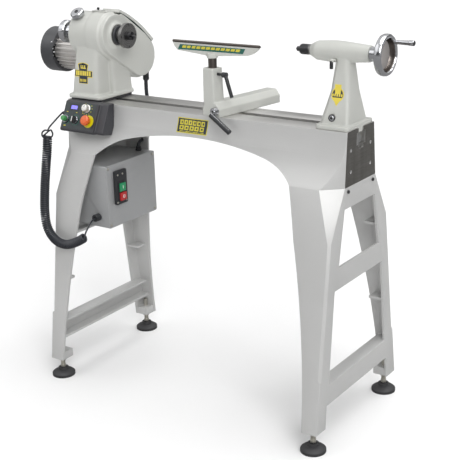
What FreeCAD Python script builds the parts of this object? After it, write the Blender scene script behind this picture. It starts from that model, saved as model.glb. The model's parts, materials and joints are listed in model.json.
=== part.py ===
"""Wood lathe on a cast two-legged stand, as a parametric document of named sub-parts.

Frame: +X along the bed from headstock to tailstock, +Y away from the operator, +Z up, millimetres.
The floor is z = 0. Sub-parts are drawn with x = 0 at the middle of the bed, and every finished
sub-part is then moved along X by the cell "shift", which centres the whole machine on the origin.
"""
import FreeCAD, Part
import Sketcher
import math
import os
import re

V = FreeCAD.Vector

# The driving dimensions. Each becomes a cell of the sheet with this alias.
SIZES = {
    # whole machine
    "shift": 48.5,
    "axis_up": 1121,
    # bed casting
    "bed_long": 1024,
    "bed_top": 916,
    "bed_low": 760,
    "way_half": 81,
    "skirt_half": 140,
    "flare_rad": 236,
    "bed_wall": 10,
    "way_thick": 24,
    "slot_half": 14,
    "arch_half": 360,
    "arch_rad": 1092,
    "haunch_half": 250,
    "haunch_up": 818,
    "haunch_rad": 243,
    # leg castings
    "knee_half": 176,
    "knee_up": 617,
    "toe_half": 252,
    "toe_up": 64,
    "toe_reach": 462,
    "leg_rad": 3100,
    "leg_wall": 8,
    "bar_low": 135,
    "bar_deep": 63,
    "rail_low": 473,
    "rail_deep": 64,
    "window_top": 699,
    # levelling feet
    "foot_x": 487,
    "foot_y": 226,
    "pad_rad": 38,
    "stud_rad": 7,
    "fit": 0.05,
    # headstock
    "head_x": -438,
    "barrel_rad": 70,
    "barrel_left": -502,
    "case_left": -430,
    "case_step": -378,
    "case_right": -360,
    "motor_y": 128,
    "motor_z": 1036,
    "spindle_rad": 15,
    "plate_rad": 39.5,
    "motor_rad": 66,
    "cowl_rad": 76,
    "cowl_left": -747,
    # control box and pendant
    "box_left": -486,
    "box_right": -334,
    "box_half": 124,
    "box_low": 513,
    "box_high": 721,
    "sheet_thick": 2,
    "pend_left": -484,
    "pend_long": 141,
    # banjo and tool rest
    "post_x": 52,
    "post_y": -59,
    "post_rad": 12.7,
    "banjo_x": 69,
    "banjo_turn": -8,
    "rest_top": 1129,
    "rest_long": 307,
    # tailstock
    "tail_x": 458,
    "quill_rad": 15,
    "nose_x": 354,
    "barrel_end": 541,
    "wheel_x": 584,
    "wheel_rad": 57,
    "crank_rad": 48,
}

TURNS = {
    "z": (V(0, 0, 1), 0),
    "-z": (V(1, 0, 0), 180),
    "x": (V(0, 1, 0), 90),
    "-x": (V(0, 1, 0), -90),
    "y": (V(1, 0, 0), -90),
    "-y": (V(1, 0, 0), 90),
}

os.makedirs("parts", exist_ok=True)
doc = FreeCAD.newDocument("wood_lathe")
sheet = doc.addObject("Spreadsheet::Sheet", "dims")
for row, (alias, size) in enumerate(SIZES.items(), start=1):
    sheet.set("A%d" % row, alias)
    sheet.set("B%d" % row, str(size))
    sheet.setAlias("B%d" % row, alias)
doc.recompute()
NODES = []
PLACES = {}


# ---------------------------------------------------------------- helpers

def cells(size):
    """Turn a size written with aliases into an expression on the sheet."""
    return re.sub(r"\b([a-z][a-z_]+)\b(?!\()", r"dims.\1", str(size))


PROBE = doc.addObject("Part::Box", "probe")


def number(size):
    """The value that a size written with aliases has now."""
    return float(PROBE.evalExpression(cells(size)))


def tie(item, prop, size):
    """Bind a property to a size."""
    item.setExpression(prop, cells(size))


def place(item, x=0, y=0, z=0, along="z", spin=None):
    """Put an item at x, y, z with its own +Z turned to an axis, or by an (axis, degrees) pair."""
    PLACES[item.Name] = (x, y, z, along, spin)
    axis, angle = spin or TURNS[along]
    item.Placement = FreeCAD.Placement(V(), FreeCAD.Rotation(axis, angle))
    for letter, size in zip("xyz", (x, y, z)):
        tie(item, "Placement.Base." + letter, size)
    return item


def node(label, item, *at, **turned_by):
    """Name a finished sub-part and move it from the bed's frame to the machine's frame."""
    item.Label = label
    if at or turned_by:
        place(item, *at, **turned_by)
    x, y, z, along, spin = PLACES.get(item.Name, (0, 0, 0, "z", None))
    place(item, "%s + shift" % x, y, z, along, spin)
    NODES.append(item)
    return item


def block(x, y, z, long, wide, high, name="block"):
    """A box from its lowest corner."""
    item = doc.addObject("Part::Box", name)
    for prop, size in (("Length", long), ("Width", wide), ("Height", high)):
        tie(item, prop, size)
    return place(item, x, y, z)


def rod(radius, long, x=0, y=0, z=0, along="z", spin=None, name="rod"):
    """A cylinder from the middle of its first end."""
    item = doc.addObject("Part::Cylinder", name)
    tie(item, "Radius", radius)
    tie(item, "Height", long)
    return place(item, x, y, z, along, spin)


def tube(radius, bore, long, x=0, y=0, z=0, along="z", spin=None, name="tube"):
    """A cylinder with a bore through it."""
    solid = rod(radius, long, name=name)
    hole = rod(bore, "%s + 2" % long, z=-1)
    return place(cut(solid, [hole]), x, y, z, along, spin)


def hexagon(across, high, x=0, y=0, z=0, along="z", name="hexagon"):
    """A hexagonal prism, by its width across the flats."""
    item = doc.addObject("Part::Prism", name)
    item.Polygon = 6
    tie(item, "Circumradius", "(%s)/1.7320508" % across)
    tie(item, "Height", high)
    return place(item, x, y, z, along)


def join(items, name="join"):
    item = doc.addObject("Part::MultiFuse", name)
    item.Shapes = items
    return item


def group(items, name="group"):
    """Several separate solids as one object."""
    item = doc.addObject("Part::Compound", name)
    item.Links = items
    return item


def cut(base, tools, name="cut"):
    item = doc.addObject("Part::Cut", name)
    item.Base = base
    item.Tool = tools[0] if len(tools) == 1 else join(tools)
    return item


def overlap(first, second, name="overlap"):
    item = doc.addObject("Part::Common", name)
    item.Base = first
    item.Tool = second
    return item


def origin_plane(body, role):
    return next(item for item in body.Origin.OriginFeatures if item.Role == role)


def sketch_on(body, role, offset=0):
    """A sketch on one of the body's own origin planes, moved along the plane's normal."""
    sketch = body.newObject("Sketcher::SketchObject", body.Name + "_sketch")
    sketch.AttachmentSupport = [(origin_plane(body, role), "")]
    sketch.MapMode = "FlatFace"
    tie(sketch, "AttachmentOffset.Base.z", offset)
    return sketch


def hold(sketch, kind, geometry, point, size):
    """Dimension a point from the sketch's origin and bind the dimension."""
    index = sketch.addConstraint(Sketcher.Constraint(kind, -1, 1, geometry, point, number(size)))
    sketch.setExpression("Constraints[%d]" % index, cells(size))


def outline(sketch, points):
    """Draw a closed outline. A point is (x, y), or (x, y, radius) when an arc leads to it:
    a positive radius has its centre on the left of the way the outline is drawn."""
    places = [V(number(p[0]), number(p[1]), 0) for p in points]
    first = sketch.GeometryCount
    count = len(points)
    arcs = {}
    for i in range(count):
        start, end = places[i], places[(i + 1) % count]
        target = points[(i + 1) % count]
        if len(target) == 2:
            sketch.addGeometry(Part.LineSegment(start, end))
            continue
        radius = number(target[2])
        chord = end - start
        left = V(-chord.y, chord.x, 0).normalize()
        rise = math.sqrt(radius ** 2 - (chord.Length / 2) ** 2)
        centre = (start + end) * 0.5 + left * rise * math.copysign(1, radius)
        begin, finish = (start, end) if radius > 0 else (end, start)
        angles = [math.atan2(p.y - centre.y, p.x - centre.x) for p in (begin, finish)]
        if angles[1] < angles[0]:
            angles[1] += 2 * math.pi
        circle = Part.Circle(centre, V(0, 0, 1), abs(radius))
        sketch.addGeometry(Part.ArcOfCircle(circle, *angles))
        arcs[i] = target[2]
    ends = [(2, 1) if i in arcs and number(arcs[i]) < 0 else (1, 2) for i in range(count)]
    for i in range(count):
        after = (i + 1) % count
        sketch.addConstraint(Sketcher.Constraint(
            "Coincident", first + i, ends[i][1], first + after, ends[after][0]))
    for i in range(count):
        hold(sketch, "DistanceX", first + i, ends[i][0], points[i][0])
        hold(sketch, "DistanceY", first + i, ends[i][0], points[i][1])
    for i, radius in arcs.items():
        limit = sketch.addConstraint(Sketcher.Constraint("Radius", first + i, abs(number(radius))))
        sketch.setExpression("Constraints[%d]" % limit, "abs(%s)" % cells(radius))


def prism(role, points, start, long, name="prism"):
    """An outline on a plane, made solid from the start coordinate towards the positive axis."""
    body = doc.addObject("PartDesign::Body", name)
    flip = role == "XZ_Plane"
    sketch = sketch_on(body, role, "-(%s)" % start if flip else start)
    outline(sketch, points)
    pad = body.newObject("PartDesign::Pad", name + "_pad")
    pad.Profile = sketch
    pad.Reversed = flip
    tie(pad, "Length", long)
    sketch.Visibility = False
    return body


def turned(points, name="turned"):
    """A (radius, height) outline turned about the body's own Z axis."""
    body = doc.addObject("PartDesign::Body", name)
    sketch = sketch_on(body, "XZ_Plane")
    outline(sketch, points)
    turn = body.newObject("PartDesign::Revolution", name + "_turn")
    turn.Profile = sketch
    turn.ReferenceAxis = (sketch, ["V_Axis"])
    turn.Angle = 360
    return body


def lofted(role, sections, name="lofted"):
    """A solid through outlines, each given as (coordinate along the normal, points)."""
    body = doc.addObject("PartDesign::Body", name)
    sketches = []
    for level, points in sections:
        sketch = sketch_on(body, role, level)
        outline(sketch, points)
        sketches.append(sketch)
    loft = body.newObject("PartDesign::AdditiveLoft", name + "_loft")
    loft.Profile = sketches[0]
    loft.Sections = sketches[1:]
    loft.Ruled = True
    return body


def rounded(x, y, long, wide, radius):
    """Points of a rectangle with round corners, from its lowest corner."""
    right, top = "(%s) + (%s)" % (x, long), "(%s) + (%s)" % (y, wide)
    return [
        ("%s + %s" % (x, radius), y),
        ("%s - %s" % (right, radius), y),
        (right, "%s + %s" % (y, radius), radius),
        (right, "%s - %s" % (top, radius)),
        ("%s - %s" % (right, radius), top, radius),
        ("%s + %s" % (x, radius), top),
        (x, "%s - %s" % (top, radius), radius),
        (x, "%s + %s" % (y, radius)),
    ]


def round_off(body, radius, test, kind="Fillet"):
    """Fillet or chamfer the edges of a body whose middle passes the test."""
    doc.recompute()
    tip = body.Tip
    names = ["Edge%d" % (i + 1) for i, edge in enumerate(tip.Shape.Edges)
             if test(edge, edge.valueAt((edge.FirstParameter + edge.LastParameter) / 2))]
    feature = body.newObject("PartDesign::" + kind, body.Name + "_edges")
    feature.Base = (tip, names)
    tie(feature, "Radius" if kind == "Fillet" else "Size", radius)
    return body


def slab_beyond(p, q, r, away, inset=0):
    """A large box whose face lies on the plane p, q, r, on the side that holds "away".
    An inset moves the face the other way."""
    normal = (q - p).cross(r - p).normalize()
    if normal.dot(away - p) < 0:
        normal = -normal
    p = p - normal * number(inset)
    item = doc.addObject("Part::Box", "slab")
    item.Length, item.Width, item.Height = 600, 600, 200
    turn = FreeCAD.Rotation(V(0, 0, 1), normal)
    item.Placement = FreeCAD.Placement(p - turn.multVec(V(300, 300, 0)), turn)
    return item


def sweep(points, radius, name="sweep"):
    """A round bar along a smooth curve through points."""
    body = doc.addObject("Part::Feature", name)
    curve = Part.BSplineCurve()
    curve.interpolate([V(*[number(c) for c in p]) for p in points])
    wire = Part.Wire(curve.toShape())
    circle = Part.Circle(curve.value(0), curve.tangent(0)[0], number(radius))
    ring = Part.Wire(circle.toShape())
    body.Shape = wire.makePipeShell([ring], True, True)
    return body


# ---------------------------------------------------------------- bed and stand

def bed_outline(inset, top, low):
    """Half-width way_half at the top, flaring in an arc to skirt_half at the bottom."""
    return [
        ("-(way_half - %s)" % inset, top),
        ("-(skirt_half - %s)" % inset, low, "-(flare_rad + %s)" % inset),
        ("skirt_half - %s" % inset, low),
        ("way_half - %s" % inset, top, "-(flare_rad + %s)" % inset),
    ]


def end_facets(inset=0):
    """The four flats that narrow the bed's ends downwards."""
    flats = []
    for sx in (-1, 1):
        for sy in (-1, 1):
            flats.append(slab_beyond(
                V(sx * 510, sy * number("way_half"), number("bed_top")),
                V(sx * 457, sy * number("skirt_half"), number("bed_low")),
                V(sx * 512, sy * 92, number("bed_low")),
                V(sx * 600, sy * 300, number("bed_low")), inset))
    return flats


def bed():
    whole = prism("YZ_Plane", bed_outline(0, "bed_top", "bed_low"), "-bed_long/2", "bed_long")
    hollow = prism("YZ_Plane", bed_outline("bed_wall", "bed_top - way_thick", "bed_low - 2"),
                   "14 - bed_long/2", "bed_long - 28")
    arch = prism("XZ_Plane", [
        ("-arch_half", "bed_low - 10"),
        ("-arch_half", "bed_low"),
        ("-haunch_half", "haunch_up", "-haunch_rad"),
        ("haunch_half", "haunch_up", "-arch_rad"),
        ("arch_half", "bed_low", "-haunch_rad"),
        ("arch_half", "bed_low - 10"),
    ], -200, 400)
    slot = block("-bed_long/2 - 1", "-slot_half", "bed_top - 60", "bed_long + 2", "2*slot_half", 70)
    channel = block("-bed_long/2 - 1", -26, "bed_top - 48", "bed_long + 2", 52, 36)
    holes = []
    for sx in (-1, 1):
        for y in (-58.5, 58.5):
            for z in (800, 861):
                holes.append(rod(5.1, 40, "%d*bed_long/2 - 20" % sx, y, z, "x"))
    shell = cut(whole, [cut(hollow, end_facets("bed_wall")), arch, slot, channel] + holes + end_facets())
    webs = []
    for x in (-250, 0, 250):
        for side in (-1, 1):
            webs.append(block("%d - 4" % x, 26 if side > 0 else -78, "bed_top - 50", 8, 52, 30))
    lugs = []
    for sx in (-1, 1):
        lug = block("%s" % (484 if sx > 0 else -504), -84, 733, 20, 168, 62)
        bolts = [rod("3 + fit", 30, "%s" % (480 if sx > 0 else -510), y, 747, "x") for y in (-74, 74)]
        lugs.append(cut(lug, bolts))
    node("bed", join([shell] + webs + lugs))


def leg_shell(inset, top, outer):
    """The A-shaped outer form of a leg frame, drawn inwards by an inset."""
    across = prism("YZ_Plane", [
        ("-(skirt_half - %s)" % inset, top),
        ("-(knee_half - %s)" % inset, "knee_up"),
        ("-(toe_half - %s)" % inset, "toe_up - %s" % inset),
        ("toe_half - %s" % inset, "toe_up - %s" % inset),
        ("knee_half - %s" % inset, "knee_up"),
        ("skirt_half - %s" % inset, top),
    ], 300, "%s - 300" % outer)
    along = prism("XZ_Plane", [
        (520, "%s + 5" % top if inset else top),
        ("arch_half - 4*%s" % inset, "%s + 5" % top if inset else top),
        ("toe_reach - 4*%s" % inset, "toe_up - %s" % inset, "-leg_rad"),
        (520, "toe_up - %s" % inset),
    ], -300, 600)
    return overlap(across, along)


def corner_facets(inset=0):
    """The flats on a leg's two outer corners, above and below the knee."""
    flats = []
    for sy in (-1, 1):
        flats.append(slab_beyond(V(457, sy * 140, 760), V(512, sy * 92, 760), V(507, sy * 176, 613),
                                 V(600, sy * 300, 760), inset))
        flats.append(slab_beyond(V(504, sy * 177, 613), V(512, sy * 169, 613), V(504, sy * 252.2, 64),
                                 V(600, sy * 300, 300), inset))
    return flats


def leg(label, turn):
    form = leg_shell(0, "bed_low", "bed_long/2")
    room = leg_shell("leg_wall", "bed_low + 4", "bed_long/2 - leg_wall")
    upper = prism("YZ_Plane", [
        (-92, "window_top"),
        (-124, "rail_low + rail_deep"),
        (124, "rail_low + rail_deep"),
        (92, "window_top"),
    ], 490, 40)
    lower = prism("YZ_Plane", [
        (-147, "rail_low"),
        (-179, "bar_low + bar_deep"),
        (179, "bar_low + bar_deep"),
        (147, "rail_low"),
    ], 490, 40)
    open_foot = prism("YZ_Plane", [
        (-192, "bar_low"),
        (-199, "toe_up - 10"),
        (199, "toe_up - 10"),
        (192, "bar_low"),
    ], 300, 300)
    screws = [rod("3 + fit", 30, 490, y, 747, "x") for y in (-74, 74)]
    shell = cut(form, [cut(room, corner_facets("leg_wall")), upper, lower, open_foot] + corner_facets() + screws)
    ribs = []
    for z, half, deep in (("rail_low", 190, 26), ("bar_low", 226, 34),
                          ("bar_low + bar_deep - leg_wall", 214, 34)):
        ribs.append(block("bed_long/2 - leg_wall - %s" % deep, -half, z, deep, 2 * half, "leg_wall"))
    for z, near, far in ((335, 166, 213), (590, 126, 178)):
        for side in (-1, 1):
            low = near if side > 0 else -far
            ribs.append(block("bed_long/2 - leg_wall - 44", low, z, 44, far - near, "leg_wall"))
    for side in (-1, 1):
        boss = block("foot_x - 24", 200 if side > 0 else -250, "toe_up", 48, 50, 26)
        ribs.append(cut(boss, [rod("stud_rad + fit", 60, "foot_x", "%d*foot_y" % side, 50)]))
    webs = overlap(join(ribs), leg_shell(0, "bed_low", "bed_long/2"))
    node(label, join([shell, webs]), spin=(V(0, 0, 1), turn))


def leg_bolts():
    bolts = []
    for sx, way in ((1, "-x"), (-1, "x")):
        for y in (-74, 74):
            head = rod(5, 4, "%d*(bed_long/2 + 4)" % sx, y, 747, way)
            shank = rod(3, 27, "%d*(bed_long/2 + 1)" % sx, y, 747, way)
            socket = hexagon(5, 4, "%d*(bed_long/2 + 5)" % sx, y, 747, way)
            bolts.append(cut(join([head, shank]), [socket]))
    node("leg_bolts", group(bolts))


def feet():
    nuts = []
    for side_x, word_x in ((-1, "left"), (1, "right")):
        for side_y, word_y in ((-1, "front"), (1, "rear")):
            x, y = "%d*foot_x" % side_x, "%d*foot_y" % side_y
            pad = turned([
                (0, 0), ("pad_rad", 0), ("pad_rad", 9), (17, 20, "38"), (17, 27), (10, 27), (10, 14), (0, 14),
            ], "pad")
            stud = join([rod(9.9, 12, z=14), rod("stud_rad", 96, z=20), hexagon(17, 8, z=29)])
            node("levelling_foot_%s_%s" % (word_y, word_x), group([pad, stud]), x, y)
            nut = cut(hexagon(22, 10, x, y, "toe_up - 10"), [rod("stud_rad + fit", 20, x, y, "toe_up - 15")])
            nuts.append(nut)
    node("foot_jam_nuts", group(nuts))


# ---------------------------------------------------------------- control box and pendant

def control_box():
    deep = "box_right - box_left"
    outer = prism("YZ_Plane", rounded("-box_half", "box_low", "2*box_half", "box_high - box_low", 6),
                  "box_left", deep)
    room = block("box_left + sheet_thick", "sheet_thick - box_half", "box_low + sheet_thick",
                 deep, "2*box_half - 2*sheet_thick", "box_high - box_low - 2*sheet_thick")
    gland_hole = rod(8, 20, -372, "-box_half - 10", 549, "y")
    cable_hole = rod(8, 20, -376, 100, "box_high - 10")
    tabs = []
    for y in ("-box_half + sheet_thick", "box_half - sheet_thick - 16"):
        for z in ("box_low + sheet_thick", "box_high - sheet_thick - 16"):
            tab = block("box_right - 6", y, z, 6, 16, 16)
            tabs.append(cut(tab, [rod(2, 20, "box_right - 10", "%s + 8" % y, "%s + 8" % z, "x")]))
    spacers = [block("leg_wall - bed_long/2", -80, z, "box_left - leg_wall + bed_long/2", 160, 14)
               for z in ("box_low + 4", "box_high - 18")]
    node("control_box", join([cut(outer, [room, gland_hole, cable_hole])] + tabs + spacers))

    cover = prism("YZ_Plane", rounded("-box_half", "box_low", "2*box_half", "box_high - box_low", 6),
                  "box_right", 4)
    holes = []
    screws = []
    for y in ("-box_half + sheet_thick + 8", "box_half - sheet_thick - 8"):
        for z in ("box_low + sheet_thick + 8", "box_high - sheet_thick - 8"):
            holes.append(rod("2 + fit", 10, "box_right - 2", y, z, "x"))
            screws.append(join([rod(2, 10, "box_right - 5", y, z, "x"),
                                rod(4.5, 2.5, "box_right + 4", y, z, "x")]))
    window = block("box_right - 2", -78, 598, 10, 30, 60)
    node("control_box_cover", cut(cover, holes + [window]))
    node("cover_screws", group(screws))

    node("inverter_module", join([
        block("box_left + sheet_thick", -70, 545, 110, 140, 150),
        block("box_left + sheet_thick + 110", -62, 552, 8, 124, 136)]))

    face = "box_right + 4"
    plate = prism("YZ_Plane", rounded(-92, 586, 57, 112, 4), face, 10)
    wells = [block("box_right - 10", -77.5, 628.5, 40, 29, 28), block("box_right - 10", -77.5, 598.5, 40, 29, 27)]
    back = block("box_right - 24", -77, 598.5, 28, 28.5, 59)
    body = cut(join([plate, back]), [block("box_right - 8", -77.5, 597, 40, 29, 62)])
    frame = cut(block(face, -81, 595, 13, 36, 66), wells)
    node("power_switch_body", join([body, frame]))
    node("power_on_button", block("box_right - 2", -77.3, 628.8, 22, 28.6, 27.4))
    node("power_off_button", block("box_right - 2", -77.3, 598.8, 24, 28.6, 26.4))

    gland = join([tube(7.9, 4.6, 8), tube(12, 4.6, 22, z="-22")])
    node("cord_gland", gland, -372, "-box_half", 549, "y")


def coil_cord():
    node("coil_cord", sweep([
        (-487.5, -119, 884), (-506, -126, 876), (-520, -148, 848), (-522, -172, 812), (-520, -186, 765),
        (-522, -198, 699), (-527, -205, 632), (-530, -209, 562), (-518, -214, 513), (-484, -219, 480),
        (-437, -222, 472), (-391, -222, 487), (-362, -216, 512), (-358, -196, 540), (-368, -168, 549),
        (-372, "-box_half - 24", 549),
    ], 4.5, "coil"))


PANEL_TILT = 25


def on_panel(across, down, lift=0):
    """A place on the pendant's sloping face: across from its left edge, down from its top edge."""
    tilt = math.radians(PANEL_TILT)
    y = -118 - down * math.sin(tilt) - lift * math.cos(tilt)
    z = 922 - down * math.cos(tilt) + lift * math.sin(tilt)
    return ("pend_left + %s" % across, "%.4f" % y, "%.4f" % z)


FACE = (V(1, 0, 0), 90 - PANEL_TILT)


def pendant():
    case = prism("YZ_Plane", [
        (-84, 921.5), (-114, 921.5), (-119, 918, "6"), (-157, 838), (-152, 830, "6"), (-104, 822), (-91, 850),
    ], "pend_left", "pend_long", "pendant")
    cap = prism("YZ_Plane", [
        (-84, 921.5), (-107, 921.5), (-112, 918, "6"), (-150, 838), (-145, 830, "6"), (-104, 822), (-91, 850),
    ], "pend_left + pend_long - 1", 32, "pendant_cap")
    seats = []
    for across, down, radius in ((96, 20, 5), (17, 60, 8), (56, 60, 8), (112, 60, 8)):
        x, y, z = on_panel(across, down, -18)
        seats.append(rod("%s + 0.1" % radius, 30, x, y, z, spin=FACE))
    x, y, z = on_panel(25, 11, -2)
    screen_seat = block(0, 0, 0, 34, 18, 10)
    place(screen_seat, x, y, z, spin=FACE)
    screen_seat_low = on_panel(25, 29, -2)
    place(screen_seat, *screen_seat_low, spin=FACE)
    node("pendant_case", join([cut(case, seats + [screen_seat]), cap]))

    low = on_panel(25.1, 28.9, -2)
    node("pendant_display", block(0, 0, 0, 33.8, 17.8, 2.4), *low, spin=FACE)
    node("speed_knob", join([rod(5, 12, z="-10"), rod(12, 16, z=2)]), *on_panel(96, 20), spin=FACE)
    bezels = []
    for across in (17, 56):
        ring = tube(13, 8.1, 4)
        bezels.append(place(ring, *on_panel(across, 60), spin=FACE))
    node("button_bezels", group(bezels))
    node("run_button", rod(8, 18, z="-12"), *on_panel(17, 60), spin=FACE)
    turn_grip = join([rod(8, 20, z="-12"), block(-4, -11, 8, 8, 22, 10)])
    node("direction_selector", turn_grip, *on_panel(56, 60), spin=FACE)
    node("stop_ring", tube(20, 8.1, 2), *on_panel(112, 60), spin=FACE)
    mushroom = join([rod(8, 22, z="-12"), turned([
        (0, 10), (14, 10), (16, 13), (16, 20), (12, 25, "7"), (0, 26.5),
    ], "mushroom")])
    node("stop_button", mushroom, *on_panel(112, 60), spin=FACE)


# ---------------------------------------------------------------- headstock

def belt_outline(first, second):
    """Two circles about the spindle and the motor shaft, joined by their outer tangents."""
    y, z = number("motor_y"), number("motor_z") - number("axis_up")
    apart = math.hypot(y, z)
    line = math.atan2(z, y)
    lean = math.acos((number(first) - number(second)) / apart)
    up, down = line + lean, line - lean
    axis = number("axis_up")

    def spot(cy, cz, radius, angle):
        return (round(cy + number(radius) * math.cos(angle), 4),
                round(cz + number(radius) * math.sin(angle), 4))

    far = math.pi + (up + down) / 2
    near = (up + down) / 2
    return [
        spot(0, axis, first, up),
        spot(0, axis, first, far) + (first,),
        spot(0, axis, first, down) + (first,),
        spot(y, axis + z, second, down),
        spot(y, axis + z, second, near) + (second,),
        spot(y, axis + z, second, up) + (second,),
    ]


def headstock_carriage():
    plate = prism("XY_Plane", rounded("head_x - 70", -80, 140, 160, 14), "bed_top", 8)
    tongue = block("head_x - 60", "-slot_half + fit", "bed_top - 12", 120, "2*slot_half - 2*fit", 12)
    node("headstock_carriage", cut(join([plate, tongue]), [rod("8 + fit", 60, "head_x", 0, "bed_top - 30")]))
    clamp = join([
        rod(8, 74, "head_x", 0, "bed_top - 64"),
        block("head_x - 30", -25, "bed_top - 32", 60, 50, 14),
        hexagon(24, 12, "head_x", 0, "bed_top - 44")])
    node("headstock_clamp", clamp)


def headstock_casting():
    flange = prism("XY_Plane", rounded("head_x - 70", -90, 142, 180, 14), "bed_top + 8", 12)
    round_off(flange, 4, lambda edge, mid: abs(mid.z - number("bed_top + 20")) < 0.01)
    column = lofted("XY_Plane", [
        ("bed_top + 18", rounded("head_x - 64", -76, 112, 132, 14)),
        ("axis_up - 36", rounded("head_x - 50", -62, 96, 114, 14)),
    ])
    web = lofted("XY_Plane", [
        ("bed_top + 18", rounded("case_left + 2", -10, 58, 94, 12)),
        ("axis_up - 80", rounded("case_left + 2", -10, 52, 92, 12)),
    ])
    barrel = rod("barrel_rad", "case_step - barrel_left", "barrel_left", 0, "axis_up", "x")
    back_case = prism("YZ_Plane", belt_outline(72, 72.5), "case_left", "case_step - case_left")
    front_case = prism("YZ_Plane", belt_outline(65, 66), "case_step", "case_right - case_step")
    boss = turned([(0, 0), (46, 0), (36, 8), (36, 10), (0, 10)])
    place(boss, "case_right", 0, "axis_up", "x")
    solid = join([flange, column, web, barrel, back_case, front_case, boss, door_saddle()])

    belt_room = prism("YZ_Plane", belt_outline(57, 58), "case_left + 7", "case_right - case_left - 14")
    column_room = lofted("XY_Plane", [
        ("bed_top + 7", rounded("head_x - 52", -64, 90, 108, 10)),
        ("axis_up - 64", rounded("head_x - 38", -52, 72, 94, 10)),
    ])
    web_room = block("case_left + 12", -4, "bed_top + 20", 36, 78, 28)
    through = rod(24, 160, "barrel_left - 10", 0, "axis_up", "x")
    front_bore = rod(22, 60, "case_right - 20", 0, "axis_up", "x")
    rear_seat = rod(31, 20, "barrel_left - 2", 0, "axis_up", "x")
    front_seat = rod(31, 20, "case_right - 6", 0, "axis_up", "x")
    shaft_way = rod(30, 40, "case_left - 20", "motor_y", "motor_z", "x")
    pin_way = rod("6 + fit", 60, **knob_place(50))
    knuckle_way = rod("3 + 2*fit", "case_right - case_left + 2", "case_left - 1", 21, 1190.2, "x")
    solid = cut(solid, [belt_room, column_room, web_room, through, front_bore, rear_seat, front_seat,
                        shaft_way, pin_way, door_opening(), door_seat(), knuckle_way])
    floor = cut(block("head_x - 54", -66, "bed_top + 8", 94, 112, 14),
                [rod("8 + fit", 60, "head_x", 0, "bed_top - 10")])
    node("headstock_casting", join([solid, floor]))


KNOB_LEAN = 34


def knob_place(radius):
    """A place on the line of the index plunger, at a distance from the spindle axis."""
    lean = math.radians(KNOB_LEAN)
    return {"x": -476, "y": "%.4f" % (-radius * math.sin(lean)),
            "z": "axis_up + %.4f" % (radius * math.cos(lean)), "spin": (V(1, 0, 0), KNOB_LEAN)}


def door_opening():
    """The hole through the belt housing's upper run, under the door."""
    return prism("YZ_Plane", [(30, 1140), (120, 1075), (180, 1120), (60, 1220)], "case_left + 12", 46)


def door_saddle():
    """The rim that carries the door, before its top is trimmed."""
    return prism("YZ_Plane", [(30, 1125), (160, 1045), (181, 1085), (30, 1190)],
                 "case_left + 2", "case_right - case_left - 2")


def door_seat():
    """The space the door lies in, above the housing's trimmed top."""
    return prism("YZ_Plane", [
        (10, 1192.8),
        (20.8, 1189.8),
        (180.6, 1075.7, -486),
        (200, 1090),
        (120, 1230),
        (10, 1230),
    ], "case_left - 1", "case_right - case_left + 2")


def belt_door():
    lid = prism("YZ_Plane", [
        (21, 1190.2),
        (180, 1076.5, -486),
        (189, 1083),
        (24, 1198, 499),
    ], "case_left + 2", "case_right - case_left - 2")
    knuckle = rod(3, "case_right - case_left - 2", "case_left + 2", 21, 1190.2, "x")
    node("belt_door", join([lid, knuckle]))


def spindle_group():
    shaft = turned([
        (8, 0), (14, 0), (14, 70), ("spindle_rad", 70), ("spindle_rad", 237), (16.5, 237), (16.5, 266),
        (9, 266), (9, 204), (5, 199), (5, 30), (8, 25),
    ], "spindle")
    node("spindle", shaft, -584, 0, "axis_up", "x")
    rings = []
    for x in ("barrel_left + 2", "case_right - 6"):
        rings.append(tube(31, "spindle_rad + fit", 16, x, 0, "axis_up", "x"))
    node("spindle_bearings", group(rings))
    node("bearing_cap", tube(30, 18, 6, "case_right + 10", 0, "axis_up", "x"))
    wheel = turned([
        (14, 0), (20, 0), (20, 8), (31, 12), (31, 2), (33, 0), (36.5, 3), (36.5, 20), (33, 24), (20, 22), (20, 40),
        (14, 40),
    ], "ring")
    node("outboard_handwheel", wheel, -577, 0, "axis_up", "x")
    plate = turned([
        (16.5, 0), (23, 0), (23, 22), ("plate_rad", 22), ("plate_rad", 33), (9.2, 33), (9.2, 25), (16.5, 25),
    ], "disc")
    holes = [rod(2.5, 20, 34.5 * math.cos(a), 34.5 * math.sin(a), 18)
             for a in (math.radians(45 * k) for k in (0, 2, 4, 6))]
    node("faceplate", cut(plate, holes), -341, 0, "axis_up", "x")
    tip = turned([(0, 0), (8.9, 0), (8.9, 34), (13, 34), (13, 48), (3, 48), (0, 62)], "drive")
    slots = [block(-14, -3.2, 43, 28, 6.4, 10), block(-3.2, -14, 43, 6.4, 28, 10)]
    spike = turned([(0, 40), (3, 40), (3, 50), (0, 60)], "spike")
    node("drive_centre", join([cut(tip, slots), spike]), -342, 0, "axis_up", "x")
    steps = turned([
        ("spindle_rad", 0), (46, 0), (46, 2), (42, 2), (42, 16), (36, 16), (36, 32), (30, 32), (30, 46),
        (33, 46), (33, 48), ("spindle_rad", 48),
    ], "pulley")
    node("spindle_pulley", steps, -419, 0, "axis_up", "x")


def index_knob():
    shape = turned([
        (0, 0), (6, 0), (6, 24), (20, 24), (22, 26), (22, 36), (19, 39), (0, 39),
    ], "knob")
    node("index_knob", shape, **knob_place(50))


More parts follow.
